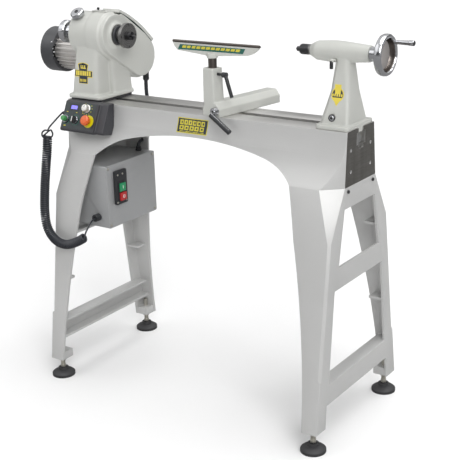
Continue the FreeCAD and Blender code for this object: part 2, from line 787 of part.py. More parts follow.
def motor():
    core = rod(58, "case_left - 10 + 698", -698, "motor_y", "motor_z", "x")
    fins = []
    for k in range(28):
        angle = 360 / 28 * k
        fin = block(-688, -1.4, 55, 228, 2.8, "motor_rad - 55")
        turn = FreeCAD.Rotation(V(1, 0, 0), angle)
        place(fin, -688, "motor_y + %.4f" % turn.multVec(V(0, -1.4, 55)).y,
              "motor_z + %.4f" % turn.multVec(V(0, -1.4, 55)).z, spin=(V(1, 0, 0), angle))
        fins.append(fin)
    bell = rod(64, 14, "case_left - 14", "motor_y", "motor_z", "x")
    foot = block(-610, "motor_y - 30", "motor_z - 74", 90, 60, 30)
    body = join([core, bell, foot] + fins)
    room = rod(40, 220, -680, "motor_y", "motor_z", "x")
    bore = rod(12, 400, -730, "motor_y", "motor_z", "x")
    node("motor_body", cut(body, [room, bore]))
    cowl = cut(rod("cowl_rad", 56, "cowl_left", "motor_y", "motor_z", "x"),
               [rod("cowl_rad - 2", 66, "cowl_left + 2", "motor_y", "motor_z", "x")]
               + [rod(3.2, 10, "cowl_left - 4", "motor_y + %.3f" % (r * math.cos(a)),
                      "motor_z + %.3f" % (r * math.sin(a)), "x")
                  for r, count in ((16, 8), (28, 14), (40, 20), (52, 26))
                  for a in (2 * math.pi * k / count for k in range(count))])
    ears = cut(tube("cowl_rad - 2", 58, 6, -697, "motor_y", "motor_z", "x"), [
        block(-700, "motor_y - 90", "motor_z - 20", 20, 180, 40)])
    node("fan_cowl", join([cowl, ears]))
    shaft = join([
        rod(9.5, 362, -736, "motor_y", "motor_z", "x"),
        rod(36, 200, -670, "motor_y", "motor_z", "x"),
        rod(20, 22, -734, "motor_y", "motor_z", "x")]
        + [place(block(0, 0, 0, 22, 2, 66), -734, "motor_y", "motor_z", spin=(V(1, 0, 0), 45 * k))
           for k in range(8)])
    node("motor_rotor", shaft)
    steps = turned([
        (9.5, 0), (28, 0), (28, 2), (24, 2), (24, 16), (30, 16), (30, 32), (36, 32), (36, 46), (39, 46),
        (39, 48), (9.5, 48),
    ], "pulley")
    node("motor_pulley", steps, -419, "motor_y", "motor_z", "x")
    outer = prism("YZ_Plane", belt_outline("36 + fit + 4", "30 + fit + 4"), -401, 12)
    inner = prism("YZ_Plane", belt_outline("36 + fit", "30 + fit"), -402, 14)
    node("drive_belt", cut(outer, [inner]))
    node("motor_cable", sweep([
        (-385, 170, 969), (-386, 170, 930), (-380, 171, 880), (-362, 170, 830), (-346, 164, 785),
        (-338, 150, 752), (-345, 128, 741), (-361, 109, 740), (-373, 101, 732), (-376, 100, "box_high + 1"),
    ], 5, "cable"))


# ---------------------------------------------------------------- banjo and tool rest

BANJO = (V(0, 0, 1), -8)
CAM_SPOT = V(25.5, -86, 19)


def banjo():
    """Drawn with its own origin on the clamp bolt and its arm along +Y, then turned."""
    long, front, half, right = 280, -86, 30.5, 37
    arm = prism("XZ_Plane", [
        (-half, 0), (right, 0), (right, 24), ("%s - 15" % right, 42), ("15 - %s" % half, 42), (-half, 24),
    ], front, long, "arm")
    foot = prism("XY_Plane", rounded(-28, front, 44, 46, 6), 0, 60, "foot")
    upright = lofted("XY_Plane", [
        (40, rounded(-29, front, 46, 48, 5)),
        (142, rounded(-28, "%s + 1" % front, 43, 43, 5)),
    ], "upright")
    slot = block(-9, -50, -5, 18, 226, 20)
    groove = block(-17, -50, 11, 34, 226, 15)
    cam_way = rod("8 + fit", 60, CAM_SPOT.x, "%s - 5" % front, CAM_SPOT.z, "y")
    post_way = rod("post_rad + fit", 150, -6, -62, 6)
    screw_way = rod("4 + fit", 40, -6, -62, 124, "x")
    solid = cut(join([arm, foot, upright]), [slot, groove, cam_way, post_way, screw_way])
    node("banjo", solid, "banjo_x", 0, "bed_top", spin=BANJO)

    plate = join([
        block(-30, -25, -28, 60, 50, 12),
        block(-30, "-slot_half + fit", -16.5, 60, "2*slot_half - 2*fit", 15.5)])
    node("banjo_clamp_plate", cut(plate, [rod("7 + fit", 60, 0, 0, -40)]), "banjo_x", 0, "bed_top")
    bolt = join([rod(7, 64, z=-42), block(-16.9, -16.9, 11.2, 33.8, 33.8, 8), hexagon(20, 12, z=-40.1)])
    node("banjo_clamp_bolt", bolt, "banjo_x", 0, "bed_top", spin=BANJO)

    crank = join([
        rod(8, 42, 0, -6, 0, "y"),
        rod(12, 13, 0, -14, 0, "y"),
        place(rod(6, 13), 0, -12, 0, spin=(V(0, 1, 0), 218)),
        place(rod(8, 84), -8, -15, -9, spin=(V(0, 1, 0), 121))])
    turn = FreeCAD.Rotation(*BANJO)
    hub = turn.multVec(CAM_SPOT)
    node("banjo_cam_lever", crank, "banjo_x + %.4f" % hub.x, "%.4f" % hub.y,
         "bed_top + %.4f" % hub.z, spin=BANJO)
    return turn


def tool_rest():
    turn = FreeCAD.Rotation(*BANJO)
    spot = turn.multVec(V(-6, -62, 0))
    x, y = "banjo_x + %.4f" % spot.x, "%.4f" % spot.y
    node("rest_post", join([rod("post_rad", 141), rod(9, 12, z=140)]), x, y, 945)
    bar = prism("XZ_Plane", [
        ("14 - rest_long/2", "rest_top"),
        ("33 - rest_long/2", "rest_top - 27", 40),
        (-24, "rest_top - 36"),
        (-13, "rest_top - 41", -20),
        (13, "rest_top - 41"),
        (24, "rest_top - 36", -20),
        ("rest_long/2 - 26", "rest_top - 28"),
        ("rest_long/2 + 14", "rest_top - 2", 70),
        ("rest_long/2 + 14", "rest_top"),
    ], -6, 12, "bar")
    boss = rod(16, 14, z="rest_top - 43")
    rail = rod(4, "rest_long", "14 - rest_long/2", -3, "rest_top", "x")
    solid = cut(join([bar, boss, rail]), [rod("9 + fit", 14, z="rest_top - 45")])
    node("tool_rest", solid, x, y)
    lever = join([
        rod(4, 28, -6.2, 0, 0, "x"),
        rod(8, 14, 21, 0, 0, "x"),
        place(rod(5.5, 68), 31, 0, 0, spin=(V(0, 1, 0), 160))])
    screw = turn.multVec(V(13, -62, 124))
    node("rest_lock_lever", lever, "banjo_x + %.4f" % screw.x, "%.4f" % screw.y,
         "bed_top + %.4f" % screw.z, spin=BANJO)


# ---------------------------------------------------------------- tailstock

def tailstock():
    flange = prism("XY_Plane", rounded("tail_x - 53", -77, 106, 154, 10), "bed_top", 12)
    tongue = block("tail_x - 53", "-slot_half + fit", "bed_top - 14", 106, "2*slot_half - 2*fit", 16)
    column = lofted("XY_Plane", [
        ("bed_top + 10", rounded("tail_x - 50", -61, 94, 122, 12)),
        ("bed_top + 100", rounded("tail_x - 29", -36, 62, 72, 12)),
        ("axis_up - 10", rounded("tail_x - 17", -26, 40, 52, 12)),
    ])
    barrel = turned([
        (0, 0), (16, 0), (27, 22), (30, 70), (29, 110, "400"), (23, "barrel_end - nose_x"),
        (0, "barrel_end - nose_x"),
    ], "barrel")
    place(barrel, "nose_x", 0, "axis_up", "x")
    solid = join([flange, tongue, column, barrel])
    room = lofted("XY_Plane", [
        ("bed_top + 20", rounded("tail_x - 31", -51, 62, 102, 8)),
        ("bed_top + 150", rounded("tail_x - 14", -20, 32, 40, 8)),
    ])
    bore = rod("quill_rad + fit", 300, "nose_x - 20", 0, "axis_up", "x")
    bolt_way = rod("7 + fit", 60, "tail_x", 0, "bed_top - 20")
    cam_way = rod("8 + fit", 200, "tail_x - 8", -100, "bed_top + 30", "y")
    lock_way = rod("4 + fit", 34, "tail_x - 16", -50, "axis_up - 19", "y")
    node("tailstock", cut(solid, [room, bore, bolt_way, cam_way, lock_way]))
    clamp = join([
        rod(7, 58, "tail_x", 0, "bed_top - 46"),
        block("tail_x - 30", -25, "bed_top - 30", 60, 50, 12),
        hexagon(20, 10, "tail_x", 0, "bed_top - 40")])
    node("tailstock_clamp", clamp)
    cam = join([
        rod(8, 136, 0, -58, 0, "y"),
        rod(12, 20, 0, 66, 0, "y"),
        place(rod(5, 40), 0, 80, 0, spin=(V(0, 1, 0), -32)),
        place(rod(8, 60), "-36*sin(32)", 80, "36*cos(32)", spin=(V(0, 1, 0), -32))])
    node("tailstock_cam_lever", cam, "tail_x - 8", 0, "bed_top + 30")


def quill_group():
    quill = turned([
        (9, 0), ("quill_rad", 0), ("quill_rad", 170), (8, 170), (8, 90), (5, 85), (5, 70), (9, 65),
    ], "quill")
    node("quill", quill, "nose_x - 4", 0, "axis_up", "x")
    body = turned([
        (5.05, "-30"), (13, "-30"), (14, "-28"), (14, "-2"), (12, 0), (8.9, 0), (8.9, 50), (0, 50), (0, "-8"),
        (5.05, "-8"),
    ], "revolving")
    node("live_centre_body", body, "nose_x - 4", 0, "axis_up", "x")
    point = turned([
        (0, "-48"), (2.5, "-45"), (5.5, "-43"), (7, "-41"), (7, "-30.3"), (5, "-30.3"), (5, "-8.3"),
        (0, "-8.3"),
    ], "point")
    node("live_centre_point", point, "nose_x - 4", 0, "axis_up", "x")
    wheel = turned([
        (4, "barrel_end - wheel_x + 0.2"), (20, "barrel_end - wheel_x + 0.2"), (20, "-20"), (43, "-13"),
        (53, "-12"), ("wheel_rad", "-6"), ("wheel_rad", 6), (53, 10), (46, 10), (43, 5), (41, "-8"),
        (22, "-12"), (13, "-12"), (13, 2), (4, 2),
    ], "wheel")
    hole = rod("4 + fit", 40, 0, 0, 0)
    place(hole, "-crank_rad*sin(39)", "crank_rad*cos(39)", -20)
    screw = rod(4, 150, z=-170)
    node("tailstock_handwheel", join([cut(wheel, [hole]), screw, rod(4, 130, z=-126)]),
         "wheel_x", 0, "axis_up", "x")
    grip = turned([
        (0, "-10"), (4, "-10"), (4, 11), (5.5, 11), (6.5, 48), (7.5, 50), (7.5, 64), (5, 66), (0, 66),
    ], "grip")
    node("handwheel_handle", grip, "wheel_x", "crank_rad*cos(39)", "axis_up + crank_rad*sin(39)", "x")
    lever = join([
        rod(4, 26, 0, -42, 0, "y"),
        rod(5, 8, 0, -48, 0, "y"),
        block(-3.5, -49, -22, 7, 8, 22)])
    node("quill_lock_lever", lever, "tail_x - 16", 0, "axis_up - 19")


def main():
    bed()
    leg("leg_right", 0)
    leg("leg_left", 180)
    leg_bolts()
    feet()
    control_box()
    coil_cord()
    pendant()
    headstock_carriage()
    headstock_casting()
    belt_door()
    spindle_group()
    index_knob()
    motor()
    banjo()
    tool_rest()
    tailstock()
    quill_group()
    doc.removeObject("probe")
    doc.recompute()


main()

failed = [item.Name for item in doc.Objects if {"Invalid", "Error"} & set(item.State)]
if failed:
    raise RuntimeError("not computed: %s" % ", ".join(failed))
for item in NODES:
    if item.Shape.isNull() or not item.Shape.isValid():
        raise RuntimeError("bad shape: %s" % item.Label)
for item in NODES:
    item.Shape.exportStep("parts/%s.step" % item.Label)
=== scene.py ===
"""Looks of a wood lathe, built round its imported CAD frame. Everything is in metres in the CAD's frame."""
import json
import math

import bmesh
import bpy
from mathutils import Matrix, Vector
from mathutils.bvhtree import BVHTree


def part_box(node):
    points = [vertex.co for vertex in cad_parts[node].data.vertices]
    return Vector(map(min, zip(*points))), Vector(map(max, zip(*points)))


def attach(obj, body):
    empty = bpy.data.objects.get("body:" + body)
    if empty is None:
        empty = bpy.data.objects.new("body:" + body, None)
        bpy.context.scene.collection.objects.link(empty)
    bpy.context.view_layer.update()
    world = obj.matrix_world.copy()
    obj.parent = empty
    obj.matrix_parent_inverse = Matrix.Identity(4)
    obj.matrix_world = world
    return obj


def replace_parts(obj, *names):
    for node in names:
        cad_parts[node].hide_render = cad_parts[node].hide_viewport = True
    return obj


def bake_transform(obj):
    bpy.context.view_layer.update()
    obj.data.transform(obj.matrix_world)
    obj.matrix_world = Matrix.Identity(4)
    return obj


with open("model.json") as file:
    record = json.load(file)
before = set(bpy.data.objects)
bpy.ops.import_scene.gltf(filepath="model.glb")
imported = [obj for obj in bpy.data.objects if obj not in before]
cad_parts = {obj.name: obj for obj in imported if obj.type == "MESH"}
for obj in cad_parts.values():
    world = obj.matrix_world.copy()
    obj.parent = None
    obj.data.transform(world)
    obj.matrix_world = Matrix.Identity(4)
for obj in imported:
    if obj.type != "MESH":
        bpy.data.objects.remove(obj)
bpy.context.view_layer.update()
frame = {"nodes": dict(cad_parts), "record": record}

NODES = frame["nodes"]
BODY_OF = {node: body for body, nodes in frame["record"]["behaviour"]["bodies"].items() for node in nodes}
SHIFT = sum(v.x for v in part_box("bed")) / 2
MM = 0.001
UP = Vector((0, 0, 1))
FULL_TURN = 2 * math.pi
SURFACE_GAP = 0.0005  # metres: a face this near a plane lies on it
WELD_GAP = 1e-5  # metres: vertices this near each other are one
SHARP_ANGLE = math.radians(35)  # edges sharper than this stay sharp in the shading


def at(x, y, z):
    """A place given in millimetres from the bed's middle, in the row frame."""
    return Vector((x * MM + SHIFT, y * MM, z * MM))


JOINTS = {joint["name"]: joint for joint in frame["record"]["behaviour"]["joints"]}


def pivot(joint, along=0.0):
    """A place on a hinge's axis, in millimetres along it from the stated point, and the axis."""
    axis = Vector(JOINTS[joint]["axis"])
    return Vector(JOINTS[joint]["pos_m"]) + axis * along * MM, axis


def middle(node):
    """The middle of a CAD node's box."""
    low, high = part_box(node)
    return (low + high) / 2


def rgb(red, green, blue):
    """A display colour, 0 to 255, as linear light."""
    parts = []
    for value in (red, green, blue):
        value /= 255
        parts.append(value / 12.92 if value <= 0.04045 else ((value + 0.055) / 1.055) ** 2.4)
    return (*parts, 1)


# ------------------------------------------------------------------ finishes

class Finish:
    """A node material in object coordinates."""

    def __init__(self, name):
        self.material = bpy.data.materials.new(name)
        self.material.use_nodes = True
        self.tree = self.material.node_tree
        self.shader = self.tree.nodes["Principled BSDF"]
        self.where = self.node("ShaderNodeTexCoord").outputs["Object"]

    def node(self, kind, inputs=(), **settings):
        made = self.tree.nodes.new(kind)
        for key, value in settings.items():
            setattr(made, key, value)
        for key, value in dict(inputs).items():
            self.feed(made.inputs[key], value)
        return made

    def feed(self, socket, value):
        if isinstance(value, bpy.types.NodeSocket):
            self.tree.links.new(value, socket)
        else:
            socket.default_value = value

    def stretched(self, scale):
        return self.node("ShaderNodeVectorMath", {0: self.where, 1: scale}, operation="MULTIPLY").outputs[0]

    def noise(self, scale, detail=3.0, where=None, rough=0.55):
        made = self.node("ShaderNodeTexNoise", {
            "Vector": where or self.where, "Scale": scale, "Detail": detail, "Roughness": rough})
        return made.outputs["Fac"]

    def sum(self, *terms):
        """Adds (socket, weight) pairs."""
        total = None
        for socket, weight in terms:
            part = self.node("ShaderNodeMath", {0: socket, 1: weight}, operation="MULTIPLY").outputs[0]
            total = part if total is None else self.node(
                "ShaderNodeMath", {0: total, 1: part}, operation="ADD").outputs[0]
        return total

    def spread(self, fac, low, high, start=0.3, end=0.7):
        made = self.node("ShaderNodeMapRange", {
            "Value": fac, "From Min": start, "From Max": end, "To Min": low, "To Max": high})
        return made.outputs[0]

    def mix(self, fac, first, second):
        made = self.node("ShaderNodeMix", data_type="RGBA")
        self.feed(made.inputs["Factor"], fac)
        self.feed(made.inputs[6], first)
        self.feed(made.inputs[7], second)
        return made.outputs[2]

    def edges(self, radius, start=0.03, end=0.25):
        """1 along sharp edges, 0 on flat ground."""
        soft = self.node("ShaderNodeBevel", {"Radius": radius}, samples=4).outputs[0]
        plain = self.node("ShaderNodeNewGeometry").outputs["Normal"]
        dot = self.node("ShaderNodeVectorMath", {0: soft, 1: plain}, operation="DOT_PRODUCT")
        bent = self.node("ShaderNodeMath", {0: 1.0, 1: dot.outputs["Value"]}, operation="SUBTRACT").outputs[0]
        return self.spread(bent, 0.0, 1.0, start, end)

    def finish(self, colour, rough, bump, strength, distance, metal=0.0, coat=0.0):
        self.feed(self.shader.inputs["Base Color"], colour)
        self.feed(self.shader.inputs["Roughness"], rough)
        self.feed(self.shader.inputs["Metallic"], metal)
        self.feed(self.shader.inputs["Coat Weight"], coat)
        self.feed(self.shader.inputs["Coat Roughness"], 0.15)
        relief = self.node("ShaderNodeBump", {"Strength": strength, "Distance": distance, "Height": bump})
        self.feed(self.shader.inputs["Normal"], relief.outputs[0])
        return self.material


def shade(colour, factor):
    """A colour made darker or paler by a factor."""
    return tuple(min(1.0, c * factor) for c in colour[:3]) + (1,)


def painted(name, colour, rough=0.38, grain=380, peel=0.25, metal=0.0, vary=0.05, edge_highlight_colour=None, sparkle=0.0):
    """Sprayed paint: faint mottling, orange peel, and a painted highlight, a paler line along the edges."""
    f = Finish(name)
    cloud = f.noise(5, 4)
    peel_noise = f.noise(grain, 3)
    fine = f.noise(grain * 5, 1)
    tone = f.mix(f.spread(f.sum((cloud, 1 - sparkle), (fine, sparkle)), 0, 1), shade(colour, 1 - vary),
                 shade(colour, 1 + vary))
    # Painted highlight: the edge mask below mixes every edge towards a paler colour.
    if edge_highlight_colour:
        thin = f.node("ShaderNodeMath", {0: f.edges(0.0015), 1: 0.35}, operation="MULTIPLY").outputs[0]
        tone = f.mix(thin, tone, edge_highlight_colour)
    rough = f.spread(f.sum((cloud, 0.5), (peel_noise, 0.5)), rough - 0.07, rough + 0.09)
    return f.finish(tone, rough, peel_noise, peel, 0.0003, metal, coat=0.12)


def moulded(name, colour, rough=0.5, grain=1600, relief=0.35, vary=0.12, coat=0.0):
    """Moulded plastic or rubber with a fine pebbled skin and a painted highlight on its edges."""
    f = Finish(name)
    cloud = f.noise(14, 4)
    skin = f.node("ShaderNodeTexVoronoi", {"Vector": f.where, "Scale": grain}).outputs["Distance"]
    tone = f.mix(f.spread(cloud, 0, 1), shade(colour, 1 - vary), shade(colour, 1 + vary))
    # Painted highlight: edges are mixed towards a much paler colour.
    edge_glint = f.node("ShaderNodeMath", {0: f.edges(0.001), 1: 0.18}, operation="MULTIPLY").outputs[0]
    tone = f.mix(edge_glint, tone, shade(colour, 2.2))
    return f.finish(tone, f.spread(cloud, rough - 0.08, rough + 0.08), skin, relief, 0.0002, coat=coat)


def machined(name, colour, rough, stretch, grain=60, vary=0.2, relief=0.15, bands=0.0, metal=1.0):
    """Bare metal with cutter or grinding marks drawn out along one axis, and faint handling stains."""
    f = Finish(name)
    lines = f.noise(grain, 5, f.stretched(stretch), 0.75)
    stain = f.noise(11, 5)
    cover = f.sum((lines, 0.7), (stain, 0.3))
    if bands:
        cover = f.sum((cover, 1.0), (f.noise(1, 1, f.stretched((0, bands, 0))), 0.5), (stain, -0.5))
    tone = f.mix(f.spread(cover, 0, 1, 0.25, 0.75), shade(colour, 1 - vary), shade(colour, 1 + vary))
    return f.finish(tone, f.spread(cover, rough + 0.12, rough - 0.08), lines, relief, 0.0002, metal)


def turned_metal(name, colour, rough, axis_at, vary=0.16, relief=0.2, metal=1.0):
    """Metal turned about an axis along X, with rings of tool marks on faces and rims."""
    f = Finish(name)
    offset = f.node("ShaderNodeVectorMath", {0: f.where, 1: axis_at}, operation="SUBTRACT").outputs[0]
    flat = f.node("ShaderNodeVectorMath", {0: offset, 1: (0, 1, 1)}, operation="MULTIPLY").outputs[0]
    radius = f.node("ShaderNodeVectorMath", {0: flat}, operation="LENGTH").outputs["Value"]
    along = f.node("ShaderNodeSeparateXYZ", {0: offset}).outputs[0]
    rings = f.noise(2600, 2, f.node("ShaderNodeCombineXYZ", {0: radius, 1: along}).outputs[0])
    stain = f.noise(30, 4)
    cover = f.sum((rings, 0.65), (stain, 0.35))
    tone = f.mix(f.spread(cover, 0, 1), shade(colour, 1 - vary), shade(colour, 1 + vary))
    return f.finish(tone, f.spread(cover, rough - 0.05, rough + 0.12), rings, relief, 0.0001, metal)


def polished(name, colour=rgb(192, 193, 196), rough=0.09):
    """Plated metal with fine smears and pinhead ripple."""
    f = Finish(name)
    smear = f.noise(45, 5)
    ripple = f.noise(160, 2)
    tone = f.mix(f.spread(smear, 0, 1), shade(colour, 0.9), colour)
    return f.finish(tone, f.spread(smear, rough, rough + 0.12), ripple, 0.06, 0.0004, 1.0)


SPINDLE_AXIS = (0, 0, middle("spindle").z)
# The paler edge colours given to these paints are painted highlights.
PAINT = painted("casting_paint", rgb(189, 190, 185), edge_highlight_colour=rgb(212, 213, 209))
STAND_PAINT = painted("stand_paint", rgb(190, 190, 189), rough=0.42, grain=520, peel=0.35, metal=0.2,
                      vary=0.06, sparkle=0.5, edge_highlight_colour=rgb(214, 214, 213))
SHEET_PAINT = painted("sheet_paint", rgb(166, 167, 168), rough=0.42, grain=900, peel=0.45, metal=0.35,
                      vary=0.1, sparkle=0.7, edge_highlight_colour=rgb(214, 214, 214))
GROUND = machined("ground_ways", rgb(200, 199, 197), 0.36, (1, 26, 1), 34, 0.14)
MILLED = machined("milled_end", rgb(124, 122, 118), 0.42, (1, 1, 22), 26, 0.2, bands=34)
STEEL = turned_metal("turned_steel", rgb(128, 127, 126), 0.26, SPINDLE_AXIS)
DARK_STEEL = turned_metal("dark_steel", rgb(74, 74, 76), 0.34, SPINDLE_AXIS, metal=0.85)
ZINC = machined("zinc_plate", rgb(196, 193, 184), 0.3, (1, 1, 12), 60, 0.12)
POST_STEEL = machined("post_steel", rgb(104, 98, 94), 0.3, (14, 14, 1), 60, 0.25)
CHROME = polished("chrome")
RIM = polished("bezel_chrome", rgb(128, 129, 133), 0.2)
ALUMINIUM = machined("cast_aluminium", rgb(216, 213, 210), 0.32, (6, 1, 1), 120, 0.1, metal=0.55)
RUBBER = moulded("black_rubber", rgb(46, 46, 48), 0.62, 900, 0.3)
PLASTIC = moulded("black_plastic", rgb(40, 41, 44), 0.42, 1500)
CORD = moulded("cord_rubber", rgb(38, 40, 46), 0.36, 2200, 0.15)
CHARCOAL = moulded("charcoal_shell", rgb(52, 52, 56), 0.45, 1300, 0.4)
BLACK_PAINT = painted("black_paint", rgb(58, 59, 62), 0.36, 500, 0.3, vary=0.12)
GREEN_STRIP = painted("green_strip", rgb(62, 84, 80), 0.45, 600, 0.3, vary=0.1)
GREEN_BUTTON = moulded("green_button", rgb(58, 132, 70), 0.3, 2500, 0.1, 0.08, 0.4)
POWER_GREEN = moulded("power_green", rgb(24, 138, 88), 0.3, 2500, 0.1, 0.1, 0.4)
POWER_RED = moulded("power_red", rgb(176, 32, 34), 0.3, 2500, 0.1, 0.1, 0.4)
STOP_RED = moulded("stop_red", rgb(212, 94, 38), 0.32, 2500, 0.12, 0.06, 0.35)
YELLOW = moulded("yellow_ring", rgb(200, 190, 8), 0.4, 2500, 0.08, 0.05)
PANEL_GREEN = moulded("panel_ground", rgb(47, 54, 56), 0.4, 1800, 0.15, 0.1)
GOLD = moulded("gold_leaf", rgb(224, 204, 78), 0.32, 2400, 0.1, 0.1, 0.3)
NAVY = moulded("badge_ground", rgb(42, 50, 62), 0.3, 2400, 0.1, 0.12, 0.3)
PALE_PLASTIC = moulded("pale_plastic", rgb(226, 226, 222), 0.4, 2000, 0.1, 0.05)
LABEL_YELLOW = moulded("label_yellow", rgb(200, 188, 62), 0.42, 2400, 0.08, 0.1)
RING_GREEN = moulded("ring_green", rgb(48, 92, 80), 0.42, 2400, 0.1, 0.1)
# A near-black finish: painted shade in screw sockets, the latch slot, the grub hole and the end cap's seam,
# and also the print of the speed knob's pointer.
HOLE_SHADE_AND_PRINT = moulded("hole_shade_and_dark_print", rgb(22, 22, 24), 0.6, 900, 0.2)
DISH = turned_metal("turned_dish", rgb(170, 166, 164), 0.4, SPINDLE_AXIS, vary=0.1, metal=0.35)
BADGE_GREEN = moulded("badge_green", rgb(30, 92, 82), 0.3, 2400, 0.1, 0.1, 0.3)


def lit_display():
    """A backlit screen: pale segments on violet-blue."""
    f = Finish("display_glow")
    cell = f.node("ShaderNodeTexChecker", {"Vector": f.stretched((420, 420, 420)), "Scale": 1.0,
                                           "Color1": rgb(104, 96, 232), "Color2": rgb(158, 152, 246)})
    haze = f.noise(260, 2)
    tone = f.mix(f.spread(haze, 0, 0.6), cell.outputs[0], rgb(120, 112, 240))
    f.feed(f.shader.inputs["Emission Color"], tone)
    f.feed(f.shader.inputs["Emission Strength"], 0.55)
    return f.finish(tone, 0.2, haze, 0.05, 0.0001)


DISPLAY = lit_display()


# ------------------------------------------------------------------ mesh helpers

def smoothing():
    """A node group that shades faces smooth and keeps sharp edges sharp."""
    tree = bpy.data.node_groups.new("smooth_shading", "GeometryNodeTree")
    tree.interface.new_socket("Geometry", in_out="INPUT", socket_type="NodeSocketGeometry")
    tree.interface.new_socket("Geometry", in_out="OUTPUT", socket_type="NodeSocketGeometry")
    source, result = tree.nodes.new("NodeGroupInput"), tree.nodes.new("NodeGroupOutput")
    faces, edges = (tree.nodes.new("GeometryNodeSetShadeSmooth") for _ in range(2))
    angle, over = tree.nodes.new("GeometryNodeInputMeshEdgeAngle"), tree.nodes.new("FunctionNodeCompare")
    edges.domain = "EDGE"
    edges.inputs["Shade Smooth"].default_value = False
    over.operation = "GREATER_THAN"
    over.inputs[1].default_value = SHARP_ANGLE
    link = tree.links.new
    link(source.outputs[0], faces.inputs["Geometry"])
    link(faces.outputs[0], edges.inputs["Geometry"])
    link(angle.outputs[0], over.inputs[0])
    link(over.outputs[0], edges.inputs["Selection"])
    link(edges.outputs[0], result.inputs[0])
    return tree


SMOOTHING = smoothing()


def soften(thing, width):
    """Bevels the sharp edges of a CAD mesh and shades it smooth, with modifiers only."""
    if "custom_normal" in thing.data.attributes:
        thing.data.attributes.remove(thing.data.attributes["custom_normal"])
    weld = thing.modifiers.new("weld", "WELD")
    weld.merge_threshold = WELD_GAP
    if width:
        flat = thing.modifiers.new("flats", "DECIMATE")
        flat.decimate_type = "DISSOLVE"
        flat.angle_limit = math.radians(0.4)
        bevel = thing.modifiers.new("bevel", "BEVEL")
        bevel.width = width * MM
        bevel.segments = 3
        bevel.limit_method = "ANGLE"
        bevel.angle_limit = math.radians(32)
        bevel.use_clamp_overlap = True
    thing.modifiers.new("smooth", "NODES").node_group = SMOOTHING


def coat(thing, *materials, pick=None):
    """Gives an object its finishes; pick(centre, normal) says which one a face takes."""
    thing.data.materials.clear()
    for material in materials:
        thing.data.materials.append(material)
    for face in thing.data.polygons:
        face.material_index = pick(face.center, face.normal) if pick else 0


def shown(name, mesh):
    """An object in the scene from a bmesh, which is used up."""
    bmesh.ops.recalc_face_normals(mesh, faces=mesh.faces)
    made = bpy.data.meshes.new(name)
    mesh.to_mesh(made)
    mesh.free()
    thing = bpy.data.objects.new(name, made)
    bpy.context.scene.collection.objects.link(thing)
    return thing


def add(name, mesh, body, material, smooth=True):
    """A new piece of one finish, riding on a CAD body unless the body is None."""
    thing = shown(name, mesh)
    coat(thing, material)
    if smooth:
        thing.modifiers.new("smooth", "NODES").node_group = SMOOTHING
    if body:
        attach(thing, body)
    return thing


def turn_to(direction):
    """The rotation that takes +Z to a direction."""
    return Vector(direction).normalized().to_track_quat("Z", "Y").to_matrix().to_4x4()


def turned(profile, place, direction=(0, 0, 1), sides=40):
    """Turns (radius, height) points, in millimetres, about an axis through a place."""
    mesh = bmesh.new()
    spot = Matrix.Translation(place) @ turn_to(direction)
    rings = []
    for radius, height in profile:
        if radius == 0:
            rings.append([mesh.verts.new(spot @ Vector((0, 0, height * MM)))])
            continue
        rings.append([mesh.verts.new(spot @ Vector((
            radius * MM * math.cos(a), radius * MM * math.sin(a), height * MM)))
            for a in (FULL_TURN * k / sides for k in range(sides))])
    for first, second in zip(rings, rings[1:]):
        for k in range(sides):
            corners = [first[k % len(first)], first[(k + 1) % len(first)],
                       second[(k + 1) % len(second)], second[k % len(second)]]
            mesh.faces.new(list(dict.fromkeys(corners)))
    return mesh


def plate(outline, spot, thick, bevel=0.0, into=None):
    """An outline in millimetres, raised by a thickness from the XY plane of a spot matrix."""
    mesh = into or bmesh.new()
    low = [mesh.verts.new(spot @ Vector((x * MM, y * MM, 0))) for x, y in outline]
    high = [mesh.verts.new(spot @ Vector((x * MM, y * MM, thick * MM))) for x, y in outline]
    mesh.faces.new(low[::-1])
    top = mesh.faces.new(high)
    for k in range(len(low)):
        after = (k + 1) % len(low)
        mesh.faces.new((low[k], low[after], high[after], high[k]))
    if bevel:
        bmesh.ops.bevel(mesh, geom=list(top.edges), offset=bevel * MM, segments=2, affect="EDGES",
                        profile=0.5, clamp_overlap=True)
    return mesh


def round_corners(width, height, radius, steps=5):
    """A rectangle about the origin with round corners."""
    points = []
    for cx, cy, start in ((1, 1, 0), (-1, 1, 90), (-1, -1, 180), (1, -1, 270)):
        for k in range(steps + 1):
            angle = math.radians(start + 90 * k / steps)
            points.append((cx * (width / 2 - radius) + radius * math.cos(angle),
                           cy * (height / 2 - radius) + radius * math.sin(angle)))
    return points


def spline(points, per=12):
    """A smooth curve through points (Catmull-Rom)."""
    padded = [2 * points[0] - points[1], *points, 2 * points[-1] - points[-2]]
    curve = []
    for a, b, c, d in zip(padded, padded[1:], padded[2:], padded[3:]):
        for k in range(per):
            t = k / per
            curve.append(0.5 * (2 * b + (c - a) * t + (2 * a - 5 * b + 4 * c - d) * t * t
                                + (3 * b - a - 3 * c + d) * t ** 3))
    return curve + [points[-1]]


def carried_frames(path):
    """Points of a path with two normals that are carried along it without twist."""
    normal = None
    out = []
    for k, point in enumerate(path):
        ahead = (path[min(k + 1, len(path) - 1)] - path[max(k - 1, 0)]).normalized()
        if normal is None:
            normal = ahead.orthogonal().normalized()
        normal = (normal - ahead * normal.dot(ahead)).normalized()
        out.append((point, normal, ahead.cross(normal)))
    return out


def tube(path, radius, sides=10, into=None):
    """A round bar along a path, of a radius in millimetres."""
    mesh = into or bmesh.new()
    rings = []
    for point, normal, side in carried_frames(path):
        rings.append([mesh.verts.new(point + radius * MM * (normal * math.cos(a) + side * math.sin(a)))
                      for a in (FULL_TURN * j / sides for j in range(sides))])
    for first, second in zip(rings, rings[1:]):
        for j in range(sides):
            mesh.faces.new((first[j], first[(j + 1) % sides], second[(j + 1) % sides], second[j]))
    mesh.faces.new(rings[0][::-1])
    mesh.faces.new(rings[-1])
    return mesh


